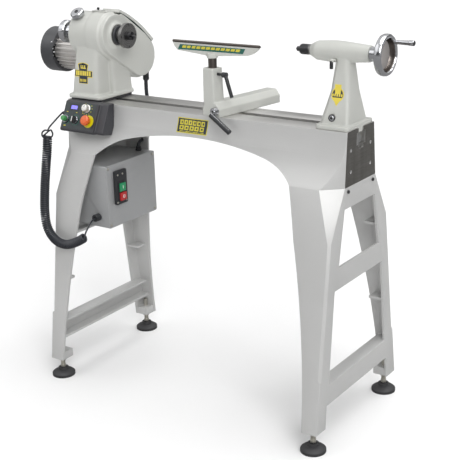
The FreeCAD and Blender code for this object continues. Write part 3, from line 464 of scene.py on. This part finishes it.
def recast(node, name, voxel, relax, materials, pick=None):
    """A softened copy of a casting: its walls are remeshed, then relaxed so that corners become fillets."""
    thing = bpy.data.objects.new(name, NODES[node].data.copy())
    bpy.context.scene.collection.objects.link(thing)
    thing.modifiers.new("weld", "WELD").merge_threshold = WELD_GAP
    remesh = thing.modifiers.new("remesh", "REMESH")
    remesh.mode = "VOXEL"
    remesh.voxel_size = voxel * MM
    relaxed = thing.modifiers.new("relax", "SMOOTH")
    relaxed.factor = 0.5
    relaxed.iterations = relax
    bpy.context.view_layer.update()
    thing.data = bpy.data.meshes.new_from_object(thing.evaluated_get(bpy.context.evaluated_depsgraph_get()))
    thing.modifiers.clear()
    thing.data.polygons.foreach_set("use_smooth", [True] * len(thing.data.polygons))
    coat(thing, *materials, pick=pick)
    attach(thing, BODY_OF[node])
    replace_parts(thing, node)


# ------------------------------------------------------------------ carried-over CAD nodes

BED_LOW, BED_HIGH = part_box("bed")
SLOT_HALF, SLOT_DEEP = 0.0265, 0.061  # the slot between the ways, whose walls are ground too
PAD_HIGH = 0.0271  # a foot's rubber pad ends here, and its screw begins


def bed_finish(centre, normal):
    """0 paint, 1 ground ways, 2 milled ends."""
    to_end = min(abs(centre.x - BED_LOW.x), abs(centre.x - BED_HIGH.x))
    if abs(normal.x) > 0.99 and to_end < SURFACE_GAP:
        return 2
    in_slot = abs(centre.y) < SLOT_HALF and centre.z > BED_HIGH.z - SLOT_DEEP
    return 1 if in_slot or centre.z > BED_HIGH.z - SURFACE_GAP else 0


def foot_finish(centre, _):
    """0 the rubber pad, 1 the screw."""
    return 0 if centre.z < PAD_HIGH else 1


PLAIN = {
    "leg_bolts": (DARK_STEEL, 0.6), "foot_jam_nuts": (ZINC, 0.8), "control_box": (SHEET_PAINT, 0.5),
    "control_box_cover": (SHEET_PAINT, 1.2), "cover_screws": (ZINC, 0.9), "inverter_module": (PLASTIC, 1),
    "power_switch_body": (PLASTIC, 1.0), "power_on_button": (POWER_GREEN, 1.2),
    "power_off_button": (POWER_RED, 1.2), "cord_gland": (PLASTIC, 1.2),
    "pendant_display": (DISPLAY, 0.3), "speed_knob": (ALUMINIUM, 1.2), "button_bezels": (RIM, 1.0),
    "run_button": (GREEN_BUTTON, 1.4), "direction_selector": (PLASTIC, 1.5), "stop_ring": (YELLOW, 0.5),
    "stop_button": (STOP_RED, 0), "headstock_carriage": (DARK_STEEL, 1.0), "headstock_clamp": (ZINC, 1),
    "spindle": (STEEL, 0.5), "spindle_bearings": (STEEL, 0.5),
    "bearing_cap": (BLACK_PAINT, 1.5), "outboard_handwheel": (CHROME, 1.0), "faceplate": (STEEL, 0.7),
    "drive_centre": (DARK_STEEL, 0.4), "spindle_pulley": (ALUMINIUM, 0.5), "index_knob": (CHROME, 1.0),
    "motor_body": (ALUMINIUM, 0.5), "fan_cowl": (BLACK_PAINT, 0), "motor_rotor": (STEEL, 0),
    "motor_pulley": (ALUMINIUM, 0.5), "drive_belt": (RUBBER, 0.6), "banjo_clamp_plate": (ZINC, 1),
    "banjo_clamp_bolt": (ZINC, 0.8), "rest_post": (POST_STEEL, 1.0), "rest_lock_lever": (PLASTIC, 1.2),
    "tailstock_clamp": (ZINC, 1), "quill": (STEEL, 0.5), "live_centre_body": (DARK_STEEL, 0.6),
    "live_centre_point": (DARK_STEEL, 0.3),
}
for node, (material, width) in PLAIN.items():
    soften(NODES[node], width)
    coat(NODES[node], material)

HANDLE_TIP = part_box("handwheel_handle")[1].x
HANDLE_CAP = 0.0045  # the handle's dark cap, from its tip
DOOR_HINGE_SIDE = 0.029  # the belt door is painted on this side of its strip


def handle_finish(centre, _):
    """0 the plated grip, 1 its cap."""
    return 1 if centre.x > HANDLE_TIP - HANDLE_CAP else 0


def lever_finish(joint, sleeve):
    """0 plated hub and neck, 1 the sleeve that begins at a distance from the joint's axis."""
    place, axis = pivot(joint)

    def finish(centre, _):
        arm = centre - place
        return 1 if (arm - axis * arm.dot(axis)).length > sleeve * MM else 0

    return finish


def door_finish(centre, _):
    """0 the strip, 1 the knuckle and the hinge edge."""
    return 1 if centre.y < DOOR_HINGE_SIDE else 0


for node, bare, material, width, finish in (
        ("belt_door", GREEN_STRIP, PAINT, 1.5, door_finish),
        ("quill_lock_lever", PAINT, PLASTIC, 1.0, lever_finish("quill_lock", 6)),
        ("handwheel_handle", CHROME, PLASTIC, 0.6, handle_finish),
        ("banjo_cam_lever", CHROME, PLASTIC, 1.2, lever_finish("banjo_cam", 14.5)),
        ("tailstock_cam_lever", CHROME, PLASTIC, 1.2, lever_finish("tailstock_cam", 36.5))):
    soften(NODES[node], width)
    coat(NODES[node], bare, material, pick=finish)

soften(NODES["bed"], 1.6)
coat(NODES["bed"], STAND_PAINT, GROUND, MILLED, pick=bed_finish)
for side in ("left", "right"):
    soften(NODES["leg_" + side], 2.2)
    coat(NODES["leg_" + side], STAND_PAINT)
    for end in ("front", "rear"):
        foot = NODES[f"levelling_foot_{end}_{side}"]
        soften(foot, 1.0)
        coat(foot, RUBBER, ZINC, pick=foot_finish)


# ------------------------------------------------------------------ castings with cast-in fillets

recast("headstock_casting", "headstock_shell", 2.4, 14, [PAINT])
recast("tailstock", "tailstock_shell", 2.0, 8, [PAINT])
recast("banjo", "banjo_shell", 2.0, 6, [PAINT])
recast("pendant_case", "pendant_shell", 1.5, 14, [CHARCOAL])

REST_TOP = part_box("tool_rest")[1].z
RAIL_HIGH = 0.0085


def rest_finish(centre, _):
    """0 paint, 1 bare steel on the rail that the tool slides on."""
    return 1 if centre.z > REST_TOP - RAIL_HIGH else 0


recast("tool_rest", "tool_rest_blade", 1.2, 5, [PAINT, POST_STEEL], pick=rest_finish)


# ------------------------------------------------------------------ cords

def even(path, gap):
    """The same path with its points a fixed gap apart, in millimetres."""
    out, over = [path[0]], 0.0
    for start, end in zip(path, path[1:]):
        long = (end - start).length / MM
        while over + long >= gap:
            start = start.lerp(end, (gap - over) / long)
            out.append(start)
            long -= gap - over
            over = 0.0
        over += long
    return out


def coil(path, radius, turns, wire, sides=8, steps=16):
    """A helix of a given radius wound round a path, as a bar of a given wire radius."""
    frames = carried_frames(even(path, 1.5))
    helix = []
    for k in range(turns * steps + 1):
        share = k / (turns * steps) * (len(frames) - 1)
        low = min(int(share), len(frames) - 2)
        t = share - low
        point = frames[low][0].lerp(frames[low + 1][0], t)
        normal = frames[low][1].lerp(frames[low + 1][1], t)
        side = frames[low][2].lerp(frames[low + 1][2], t)
        angle = FULL_TURN * k / steps
        helix.append(point + radius * MM * (normal * math.cos(angle) + side * math.sin(angle)))
    return tube(helix, wire, sides), helix


CORD_EXIT = Vector((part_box("pendant_case")[0].x, -0.119, 0.884))
GLAND_MOUTH = Vector((middle("cord_gland").x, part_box("cord_gland")[0].y + 0.006, middle("cord_gland").z))
CORD_RADIUS = 2.7
COIL_RADIUS, COIL_TURNS, COIL_WIRE = 12.4, 70, 3.1


def cord_loop():
    """The single loose turn above the coil. It faces the camera, and drifts a little with each step."""
    centre, across = at(-522, -176, 819), Vector((0.822, 0.570, 0))
    wide, high, steps = 0.017, 0.0145, 13
    drift = Vector((0.0004, -0.00055, 0))
    points = []
    for step in range(steps):
        angle = math.radians(80 + step * 28)
        points.append(centre + across * wide * math.cos(angle) + UP * high * math.sin(angle)
                      + drift * (steps - 1 - step))
    return points


def coiled_cord():
    """The pendant's cord: a lead, a loop, a long coil and a lead into the box's gland."""
    hang = spline([
        at(-525, -173, 812), at(-520, -186, 765), at(-522, -198, 699), at(-527, -205, 632),
        at(-530, -209, 562), at(-518, -214, 513), at(-484, -219, 480), at(-437, -222, 472),
        at(-391, -222, 487), at(-354, -219, 508),
    ], 16)
    mesh, helix = coil(hang, COIL_RADIUS, COIL_TURNS, COIL_WIRE)
    lead_in = spline([
        CORD_EXIT, at(-498, -123, 881), at(-514, -136, 862), at(-524, -160, 840), *cord_loop(), helix[0],
    ], 8)
    lead_out = spline([
        helix[-1], at(-352, -214, 524), at(-350, -200, 541), at(-357, -176, 551), GLAND_MOUTH,
    ], 10)
    tube(lead_in, CORD_RADIUS, 8, into=mesh)
    tube(lead_out, CORD_RADIUS, 8, into=mesh)
    cord = add("coil_cord_helix", mesh, None, CORD)
    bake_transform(cord)
    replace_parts(cord, "coil_cord")
    profile = [(0, 0), (7, 0), (7, 6), (5.2, 9), (4.4, 16), (0, 16)]
    collar = turned(profile, CORD_EXIT, (-0.9, -0.25, -0.3), 20)
    add("cord_collar", collar, "pendant", PLASTIC)


def motor_cable():
    """Two lengths, one down the headstock and one into the box, with a gland at each end."""
    down_headstock = spline([
        at(-385, 170, 967), at(-386, 170, 945), at(-386, 170, 905), at(-382, 171, 876),
    ], 14)
    into_box = spline([
        at(-383, 171, 884), at(-381, 171, 870), at(-380, 172, 830), at(-384, 169, 790), at(-388, 157, 763),
        at(-387, 136, 750), at(-381, 112, 746), at(-377, 101, 736), at(-376, 100, 719),
    ], 14)
    upper = add("motor_cable_upper", tube(down_headstock, 6.2, 14), None, CORD)
    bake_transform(upper)
    lower = add("motor_cable_lower", tube(into_box, 6.1, 14), None, CORD)
    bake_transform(lower)
    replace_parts(upper, "motor_cable")
    ribbed = [(0, 8), (11.5, 8), (11.5, 0), (11, -3)]
    for ring in range(5):
        top = -5 - ring * 4.4
        ribbed += [(10.6, top), (10.6, top - 2.6), (9.6, top - 3.0), (9.6, top - 4.0)]
    ribbed += [(9, -28), (7.6, -30), (0, -30)]
    add("motor_cable_gland", turned(ribbed, at(-385, 170, 976), sides=28),
        "headstock", PLASTIC)
    box_top = at(-376, 100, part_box("control_box")[1].z / MM)
    six_sided = [(0, 0), (11, 0), (11, 5), (9, 7), (9, 13), (7, 15), (0, 15)]
    add("box_cable_gland", turned(six_sided, box_top, sides=6), "frame", PLASTIC)


coiled_cord()
motor_cable()


# ------------------------------------------------------------------ printed panels

def facing(place, across, outwards):
    """A matrix at a place, with X across, Z outwards and Y upwards."""
    across, outwards = Vector(across).normalized(), Vector(outwards).normalized()
    turn = Matrix((across, outwards.cross(across), outwards)).transposed().to_4x4()
    return Matrix.Translation(place) @ turn


def panel(name, body, spot, size, cell, paints, pick, onto=None, shear=0.0, thick=0.5):
    """A thin label on a grid of cells.

    pick(x, y), in millimetres from the middle, gives a cell's paint, or None outside the label. With onto,
    its points are laid on that piece's surface along the spot's Z axis.
    """
    surface = BVHTree.FromObject(onto, bpy.context.evaluated_depsgraph_get()) if onto else None
    outwards = spot.to_3x3() @ UP
    columns, rows = (max(1, round(side / cell)) for side in size)
    mesh = bmesh.new()
    points = {}

    def point(i, j):
        if (i, j) not in points:
            x, y = size[0] * (i / columns - 0.5), size[1] * (j / rows - 0.5)
            place = spot @ Vector(((x + shear * y) * MM, y * MM, 0))
            if surface:
                hit = surface.ray_cast(place + outwards * 0.03, -outwards, 0.08)[0]
                place = hit or place
            points[i, j] = mesh.verts.new(place + outwards * thick * 0.6 * MM)
        return points[i, j]

    for i in range(columns):
        for j in range(rows):
            paint = pick(size[0] * ((i + 0.5) / columns - 0.5), size[1] * ((j + 0.5) / rows - 0.5))
            if paint is not None:
                corners = (point(i, j), point(i + 1, j), point(i + 1, j + 1), point(i, j + 1))
                mesh.faces.new(corners).material_index = paint
    mesh.normal_update()
    bmesh.ops.solidify(mesh, geom=list(mesh.faces), thickness=thick * MM)
    label = shown(name, mesh)
    for material in paints:
        label.data.materials.append(material)
    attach(label, body)


def bordered(inside, edge, fill):
    """Paint 1 along the edge of a shape and fill's paint within it."""
    def pick(x, y):
        if not inside(x, y):
            return None
        if not all(inside(x + dx, y + dy) for dx in (-edge, edge) for dy in (-edge, edge)):
            return 1
        return fill(x, y)
    return pick


def blocks(x, start, pitch, share):
    """True on the blocks of a row, so that it reads as a plain pattern."""
    return (x - start) % pitch < pitch * share


FRONT = ((1, 0, 0), (0, -1, 0))  # across and outwards, for a label on the operator's side


def bed_pattern(x, y):
    """Two rows of open blocks over a row of small ones."""
    for low, open_low, open_high, high, pitch, share in (
            (2, 6, 12, 17, 15.7, 0.8),
            (-14, -10, -5, -1, 18.8, 0.82)):
        if low < y < high:
            hollow = open_low < y < open_high and blocks(x, -42, pitch, 0.3)
            return 1 if abs(x) < 47 and blocks(x, -47, pitch, share) and not hollow else 0
    return 1 if -18.5 < y < -16.5 and abs(x) < 44 and blocks(x, -44, 5, 0.6) else 0


panel("bed_label", "frame", facing(at(-10, -84, 880), *FRONT), (112, 46), 1.3,
      (NAVY, LABEL_YELLOW), bordered(lambda x, y: abs(x) < 56 and abs(y) < 23, 2.6, bed_pattern),
      NODES["bed"], shear=0.12)


def rest_pattern(x, y):
    """One row of blocks."""
    return 1 if -2.5 < y < 4.5 and abs(x) < 104 and blocks(x, -104, 17.4, 0.78) else 0


post = middle("rest_post")
rest_face = facing(Vector((post.x, post.y - 0.012, REST_TOP - 0.0205)), *FRONT)
panel("rest_label", "rest", rest_face, (232, 15), 1.25,
      (BADGE_GREEN, LABEL_YELLOW), rest_pattern, bpy.data.objects["tool_rest_blade"], shear=0.55)


def shield(x, y):
    """A wide band over a narrower foot, under a flared top."""
    if y > 10:
        return abs(x + 1) < 18 + (y - 10) * 0.25 and y < 34 - (x + 1) ** 2 / 90
    return abs(x) < 38 if y > -12 else abs(x) < 19 and y > -33


def shield_pattern(x, y):
    """A row of blocks in each part of the shield."""
    if y > 12:
        return 1 if abs(x + 1) < 11 and 14 < y < 25 and (y < 18 or blocks(x, -12, 7.6, 0.55)) else 0
    if -7 < y < 7:
        return 1 if abs(x) < 32 and blocks(x, -32, 9.2, 0.74) else 0
    return 1 if -27 < y < -18 and abs(x) < 14 and blocks(x, -14, 5.6, 0.6) else 0


panel("headstock_label", "headstock", facing(at(-446, -76, 1003), *FRONT), (78, 70), 1.2,
      (NAVY, GOLD), bordered(shield, 1.8, shield_pattern), bpy.data.objects["headstock_shell"])


def medal(x, y):
    """A disc with a bar above it and a point below it."""
    return math.hypot(x, y) < 19.5 or (abs(x) < 10 and 0 < y < 28) or (abs(x) < 9 * (y + 31) / 14 and y < 0)


def medal_pattern(x, y):
    """A row of blocks across a disc."""
    if abs(x) < 8.5 and y > 2:
        return 1
    if abs(y + 2) < 3.4:
        return 1 if blocks(x, -17, 7, 0.7) else 0
    return 0 if math.hypot(x, y) < 16.5 and y > -8 else 1


panel("tailstock_label", "tailstock", facing(at(458, -47, 1009), *FRONT), (42, 60), 1.1,
      (NAVY, GOLD), bordered(medal, 1.4, medal_pattern), bpy.data.objects["tailstock_shell"])

PANEL_TILT = math.radians(25)
DOWN_PANEL = Vector((0, -math.sin(PANEL_TILT), -math.cos(PANEL_TILT)))
OUT_OF_PANEL = Vector((0, -math.cos(PANEL_TILT), math.sin(PANEL_TILT)))
# Places on the pendant's face, in millimetres across and down from its upper left corner.
PANEL_MIDDLE = (67, 46)
RUN, SELECTOR, STOP, SPEED = (17, 60), (56, 60), (112, 60), (96, 20)
STEM_HOLE = 9.6  # the label's hole round each control


def on_panel(across, down, lift=0.0):
    """A place on the pendant's sloping face."""
    corner = Vector((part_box("pendant_case")[0].x, -0.118, 0.922))
    return corner + (Vector((across, 0, 0)) + DOWN_PANEL * down + OUT_OF_PANEL * lift) * MM


def upright_on_panel(across, down, lift=0.0):
    """A matrix at a place on the pendant's face, for a flat piece that lies on it."""
    return facing(on_panel(across, down, lift), (1, 0, 0), OUT_OF_PANEL)


def pendant_pattern(x, y):
    """Rings and ticks round the controls, on a ground that ends at the case's end cap."""
    across, down = x + PANEL_MIDDLE[0], PANEL_MIDDLE[1] - y
    if any(math.hypot(across - cx, down - cy) < STEM_HOLE for cx, cy in (RUN, SELECTOR, STOP, SPEED)):
        return None
    for (cx, cy), inner, outer in ((RUN, 15.0, 17.0), (SELECTOR, 15.5, 17.5), (SPEED, 15.5, 17.5)):
        radius = math.hypot(across - cx, down - cy)
        angle = math.degrees(math.atan2(cy - down, across - cx)) % 360
        if inner < radius < outer:
            return 1
        if (cx, cy) == SPEED and outer < radius < outer + 3.2 and angle % 30 < 9 and not 60 < angle < 120:
            return 2
    if 34.5 < down < 37.5 and any(abs(across - spot) < half for spot, half in ((17, 3), (56, 3), (82, 2))):
        return 2
    if 79.5 < down < 82 and abs(across - RUN[0]) < 4:
        return 2
    return 3 if across > 129.5 else 0


panel("pendant_label", "pendant", upright_on_panel(*PANEL_MIDDLE), (126, 84), 1.1,
      (PANEL_GREEN, RING_GREEN, LABEL_YELLOW, CHARCOAL), pendant_pattern, thick=0.4)


# ------------------------------------------------------------------ small fittings

def socket_head(name, body, place, direction, radius, high, hexagon, material):
    """A screw head with a hexagonal recess, whose shade is painted by a dark hexagonal plug."""
    rim = [(0, 0), (radius, 0), (radius, high - 0.6), (radius - 0.6, high), (hexagon, high)]
    head = turned(rim + [(hexagon, high * 0.35), (0, high * 0.35)], place, direction, 24)
    add(name, head, body, material)
    # The dark plug paints the shade in the socket.
    inner = hexagon * 0.96
    socket_shade = turned([(0, 0), (inner, 0), (inner, high * 0.5), (0, high * 0.5)], place, direction, 6)
    add(name + "_well", socket_shade, body, HOLE_SHADE_AND_PRINT, smooth=False)


def lever_screws():
    """The screws that hold the cam levers, the rest's lock lever and the index knob."""
    cam, cam_axis = pivot("banjo_cam", -14)
    socket_head("banjo_cam_screw", "cam_lever", cam, -cam_axis, 8.6, 2.2, 4.4, CHROME)
    lever_end, lever_axis = pivot("rest_lock", 34.8)
    socket_head("rest_lever_screw", "rest_lever", lever_end, lever_axis, 4.4, 1.6, 2.2,
                DARK_STEEL)
    pull = Vector(JOINTS["index_pull"]["axis"])
    knob_top = at(-476, 0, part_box("spindle_bearings")[1].z / MM - 31) + pull * 0.089
    socket_head("index_knob_screw", "index_plunger", knob_top, pull, 6.5, 1.6, 3.6,
                DARK_STEEL)
    tail_cam, tail_axis = pivot("tailstock_cam", -118)
    washer = [(8.1, 0), (10.2, 0), (10.2, 4.4), (9.4, 5.2), (8.1, 5.2), (8.1, 0)]
    add("tail_cam_washer", turned(washer, tail_cam + Vector((0, 0.0045, 0)), -tail_axis, 28),
        "tailstock", DARK_STEEL)
    socket_head("tail_cam_screw", "tail_cam", tail_cam + Vector((0, 0.0005, 0)), -tail_axis, 7.2, 2.4, 3.6,
                CHROME)
    # A dark cup on the tailstock's nose: painted shade in the grub screw's hole.
    recess = [(0, 0), (2.9, 0), (2.9, 1.2), (1.4, 1.2), (1.4, 0.4), (0, 0.4)]
    add("nose_grub_hole", turned(recess, at(375.6, -23.4, 1122), (-0.35, -0.93, 0.05), 16),
        "tailstock", HOLE_SHADE_AND_PRINT)


WHEEL_MIDDLE = pivot("handwheel_turn")[0]
HUB_END = -0.0112  # along the axis, from the wheel's middle
DISH_FLOOR, DISH_RIM = 0.0395, 0.0438


def wheel_finish(centre, _):
    """0 plated rim and hub, 1 the turned floor of the dish, 2 its wall."""
    radius = math.hypot(centre.y - WHEEL_MIDDLE.y, centre.z - WHEEL_MIDDLE.z)
    if centre.x < WHEEL_MIDDLE.x + HUB_END or radius > DISH_RIM:
        return 0
    return 1 if radius < DISH_FLOOR else 2


def dished_wheel():
    """The tailstock's handwheel: a hub, a swept back and a deep dish within a round rim."""
    profile = [
        (0, -42.6), (19, -42.6), (20, -41.6), (20, -21), (24, -18.5), (43, -14.4), (50, -13),
        (54.4, -10.4), (56.6, -5.5), (57, 0), (56.4, 5), (54, 8.6), (50.4, 10), (46.8, 9.2),
        (44.4, 6.4), (43.2, 2), (42, -6), (39.6, -9), (30, -10), (0, -10.6),
    ]
    mesh = turned(profile, WHEEL_MIDDLE, (1, 0, 0), 96)
    wheel = add("handwheel_dished", mesh, "handwheel", CHROME)
    coat(wheel, CHROME, DISH, POST_STEEL, pick=wheel_finish)
    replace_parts(wheel, "tailstock_handwheel")


def fluted(teeth, radius, lift, marks):
    """A round outline with teeth; marks are the parts of a tooth where its sides begin and end."""
    outline = []
    for tooth in range(teeth):
        for high, part in zip((0, 0, lift, lift), marks):
            angle = FULL_TURN * (tooth + part) / teeth
            outline.append(((radius + high) * math.cos(angle), (radius + high) * math.sin(angle)))
    return outline


def centre_flutes():
    """The grip on the live centre's body."""
    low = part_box("live_centre_body")[0]
    spot = facing(Vector((low.x + 0.004, 0, SPINDLE_AXIS[2])), (0, 1, 0), (1, 0, 0))
    add("live_centre_flutes", plate(fluted(24, 13.9, 0.9, (0.0, 0.38, 0.5, 0.88)), spot, 21),
        "quill", DARK_STEEL)


def speed_knob():
    """A skirted, fluted aluminium knob with a pale cap and a dark pointer."""
    skirt = [(0, 1.2), (13.4, 1.2), (13.4, 3), (11.4, 4.4), (11, 6), (0, 6)]
    knob = turned(skirt, on_panel(*SPEED), OUT_OF_PANEL, 36)
    plate(fluted(20, 10.2, 0.8, (0.0, 0.4, 0.55, 0.85)), upright_on_panel(*SPEED, 5), 12, 0.7, knob)
    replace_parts(add("speed_knob_fluted", knob, "speed", ALUMINIUM), "speed_knob")
    cap = [(0, 0), (8.6, 0), (8.6, 0.8), (7.8, 1.3), (0, 1.5)]
    add("speed_knob_cap", turned(cap, on_panel(*SPEED, 16.6), OUT_OF_PANEL, 32),
        "speed", PALE_PLASTIC)
    line = upright_on_panel(SPEED[0], SPEED[1] - 4.5, 18)
    add("speed_knob_pointer", plate(round_corners(1.5, 8, 0.6), line, 0.5), "speed", HOLE_SHADE_AND_PRINT)


def pendant_fittings():
    """The selector's pointer, the plated rims, the screen's frame and the painted shade in the seam of the
    end cap.
    """
    add("selector_pointer", plate(round_corners(2.6, 17, 1.0), upright_on_panel(*SELECTOR, 17.8), 0.7, 0.2),
        "selector", PALE_PLASTIC)
    skirt = [(8.4, 0), (12.2, 0), (12.2, 4.6), (11, 6), (8.4, 6), (8.4, 0)]
    add("selector_skirt", turned(skirt, on_panel(*SELECTOR), OUT_OF_PANEL, 36), "pendant", RIM)
    rim = [(8.3, 0), (13, 0), (13, 4.6), (12, 6), (9, 6), (8.3, 5), (8.3, 0)]
    add("run_button_rim", turned(rim, on_panel(*RUN), OUT_OF_PANEL, 36), "pendant", RIM)
    panel("display_frame", "pendant", upright_on_panel(42, 20, 0.5), (38, 22), 1.0,
          (PLASTIC,), lambda x, y: None if abs(x) < 13.5 and abs(y) < 6 else 0, thick=0.6)
    # A dark strip along the end cap's edge: painted shade in the seam.
    seam = [(-0.7, -45), (0.7, -45), (0.7, 45), (-0.7, 45)]
    add("end_cap_seam", plate(seam, upright_on_panel(141, 48, -0.4), 0.7),
        "pendant", HOLE_SHADE_AND_PRINT)


def power_switch():
    """The marks on the two buttons, and the screws round them."""
    sideways = ((0, 1, 0), (1, 0, 0))
    on_face, off_face = (Vector((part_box(node)[1].x, middle(node).y, middle(node).z))
                         for node in ("power_on_button", "power_off_button"))
    bar = [(-1.0, -5), (1.0, -5), (1.0, 5), (-1.0, 5)]
    add("power_on_mark", plate(bar, facing(on_face, *sideways), 0.4, 0.1),
        "power_on", PALE_PLASTIC)
    ring = [(3.6, -0.2), (5.2, -0.2), (5.2, 0.4), (3.6, 0.4), (3.6, -0.2)]
    add("power_off_mark", turned(ring, off_face, (1, 0, 0), 28), "power_off", PALE_PLASTIC)
    for index, (y, z) in enumerate(((-80, 685), (-56, 685), (-86, 594), (-42, 594))):
        socket_head(f"switch_screw_{index}", "frame", at(-320.3, y, z), (1, 0, 0), 3.2, 1.8, 1.5,
                    ZINC)


def belt_door_latch():
    """A plate on top of the headstock with a slot and a catch."""
    outline = [
        (-442, -15), (-384, -15), (-381, -12), (-381, 9), (-384, 12), (-442, 12), (-445, 9), (-445, -12),
    ]
    add("latch_plate", plate(outline, Matrix.Translation(at(0, 0, 1192.2)), 3.0, 0.8),
        "headstock", PAINT)
    # The slot is a thin dark plate: painted shade.
    add("latch_slot", plate(round_corners(16, 6, 2.5), Matrix.Translation(at(-408, 1, 1195.0)), 0.6),
        "headstock", HOLE_SHADE_AND_PRINT)
    catch = [(0, 0), (2.4, 0), (2.4, 2), (4.2, 3), (4.6, 6), (3.6, 8.6), (0, 9.4)]
    add("latch_knob", turned(catch, at(-428, 1, 1195), sides=24), "headstock", PLASTIC)


def cowl_screw():
    """A screw on the rim of the motor's fan cowl."""
    head = [(0, 0), (3.6, 0), (3.4, 1.6), (2, 2.6), (0, 3)]
    add("cowl_screw", turned(head, at(-698, 59, 1069), (0, -0.9, 0.43), 20), "motor", CHROME)


def foot_threads():
    """The thread that shows on each levelling foot, between its pad and its jam nut."""
    for side in ("left", "right"):
        for end in ("front", "rear"):
            foot = f"levelling_foot_{end}_{side}"
            centre = middle(foot)
            screw = [Vector((centre.x, centre.y, z * MM)) for z in (36.5, 45, 54.5)]
            add(f"{foot}_thread", coil(screw, 6.9, 9, 0.75, 6, 18)[0], "frame", ZINC)


lever_screws()
dished_wheel()
centre_flutes()
speed_knob()
pendant_fittings()
power_switch()
belt_door_latch()
cowl_screw()
foot_threads()


# ------------------------------------------------------------------ floor, light, camera

def surroundings():
    """A white backdrop for the camera; reflections see a softbox overhead and dark walls."""
    world = bpy.data.worlds.new("studio")
    world.use_nodes = True
    tree = world.node_tree
    link = tree.links.new
    plain = tree.nodes["Background"]
    plain.inputs["Color"].default_value = (1, 1, 1, 1)
    seen, blend, rays, place, split, ramp = (tree.nodes.new("ShaderNode" + kind) for kind in (
        "Background", "MixShader", "LightPath", "TexCoord", "SeparateXYZ", "ValToRGB"))
    link(place.outputs["Generated"], split.inputs[0])
    link(split.outputs["Z"], ramp.inputs["Fac"])
    link(ramp.outputs["Color"], seen.inputs["Color"])
    stops = ((0.0, 0.5), (0.06, 0.25), (0.2, 0.07), (0.34, 0.12), (0.42, 0.75), (0.75, 1.0), (1.0, 0.4))
    for index, (spot, level) in enumerate(stops):
        stop = ramp.color_ramp.elements[index] if index < 2 else ramp.color_ramp.elements.new(spot)
        stop.position = spot
        stop.color = (level, level, level, 1)
    white_seen, light_given = 0.95, 0.0475
    strength = tree.nodes.new("ShaderNodeMath")
    strength.operation = "MULTIPLY_ADD"
    link(rays.outputs["Is Camera Ray"], strength.inputs[0])
    strength.inputs[1].default_value = white_seen
    strength.inputs[2].default_value = light_given
    link(strength.outputs[0], plain.inputs["Strength"])
    link(rays.outputs["Is Glossy Ray"], blend.inputs[0])
    link(plain.outputs[0], blend.inputs[1])
    link(seen.outputs[0], blend.inputs[2])
    link(blend.outputs[0], tree.nodes["World Output"].inputs["Surface"])
    bpy.context.scene.world = world


def studio():
    """A wide pale floor, darker in reflections, under three soft suns."""
    mesh = bpy.data.meshes.new("floor")
    mesh.from_pydata([(-60, -60, 0), (60, -60, 0), (60, 90, 0), (-60, 90, 0)], [], [(0, 1, 2, 3)])
    floor = bpy.data.objects.new("floor", mesh)
    bpy.context.scene.collection.objects.link(floor)
    pale = Finish("floor_pale")
    mottle = pale.noise(1.5, 3)
    white = pale.mix(mottle, (0.88, 0.88, 0.88, 1), (0.9, 0.9, 0.9, 1))
    mirrored = pale.node("ShaderNodeLightPath").outputs["Is Glossy Ray"]
    coat(floor, pale.finish(pale.mix(mirrored, white, (0.3, 0.3, 0.3, 1)), 0.9, mottle, 0.02, 0.001))
    surroundings()
    for name, towards, strength, softness in (
            ("top", (0.15, 0.1, 1), 2.6, 60),
            ("key", (1.0, -0.9, 0.85), 1.75, 35),
            ("fill", (-1.0, -0.8, 0.7), 0.5, 50)):
        lamp = bpy.data.lights.new(name, "SUN")
        lamp.energy, lamp.angle = strength, math.radians(softness)
        light = bpy.data.objects.new(name, lamp)
        light.rotation_euler = Vector(towards).to_track_quat("Z", "Y").to_euler()
        bpy.context.scene.collection.objects.link(light)
    bpy.context.scene.view_settings.view_transform = "Standard"


def camera():
    """The product view: from the front right, a little above, with a long lens."""
    azimuth, elevation, roll = math.radians(34.72), math.radians(18.4), math.radians(-1.59)
    look = Vector((-math.sin(azimuth) * math.cos(elevation), math.cos(azimuth) * math.cos(elevation),
                   -math.sin(elevation)))
    right = Vector((math.cos(azimuth), math.sin(azimuth), 0))
    up = right.cross(look)
    right, up = right * math.cos(roll) + up * math.sin(roll), up * math.cos(roll) - right * math.sin(roll)
    eye = bpy.data.objects.new("camera", bpy.data.cameras.new("camera"))
    eye.data.lens = 83.17
    eye.data.sensor_width = 36
    eye.data.clip_end = 200
    turn = Matrix((right, up, -look)).transposed().to_4x4()
    eye.matrix_world = Matrix.Translation(at(1854.3, -2591.9, 1587.6)) @ turn
    bpy.context.scene.collection.objects.link(eye)
    bpy.context.scene.camera = eye


studio()
camera()
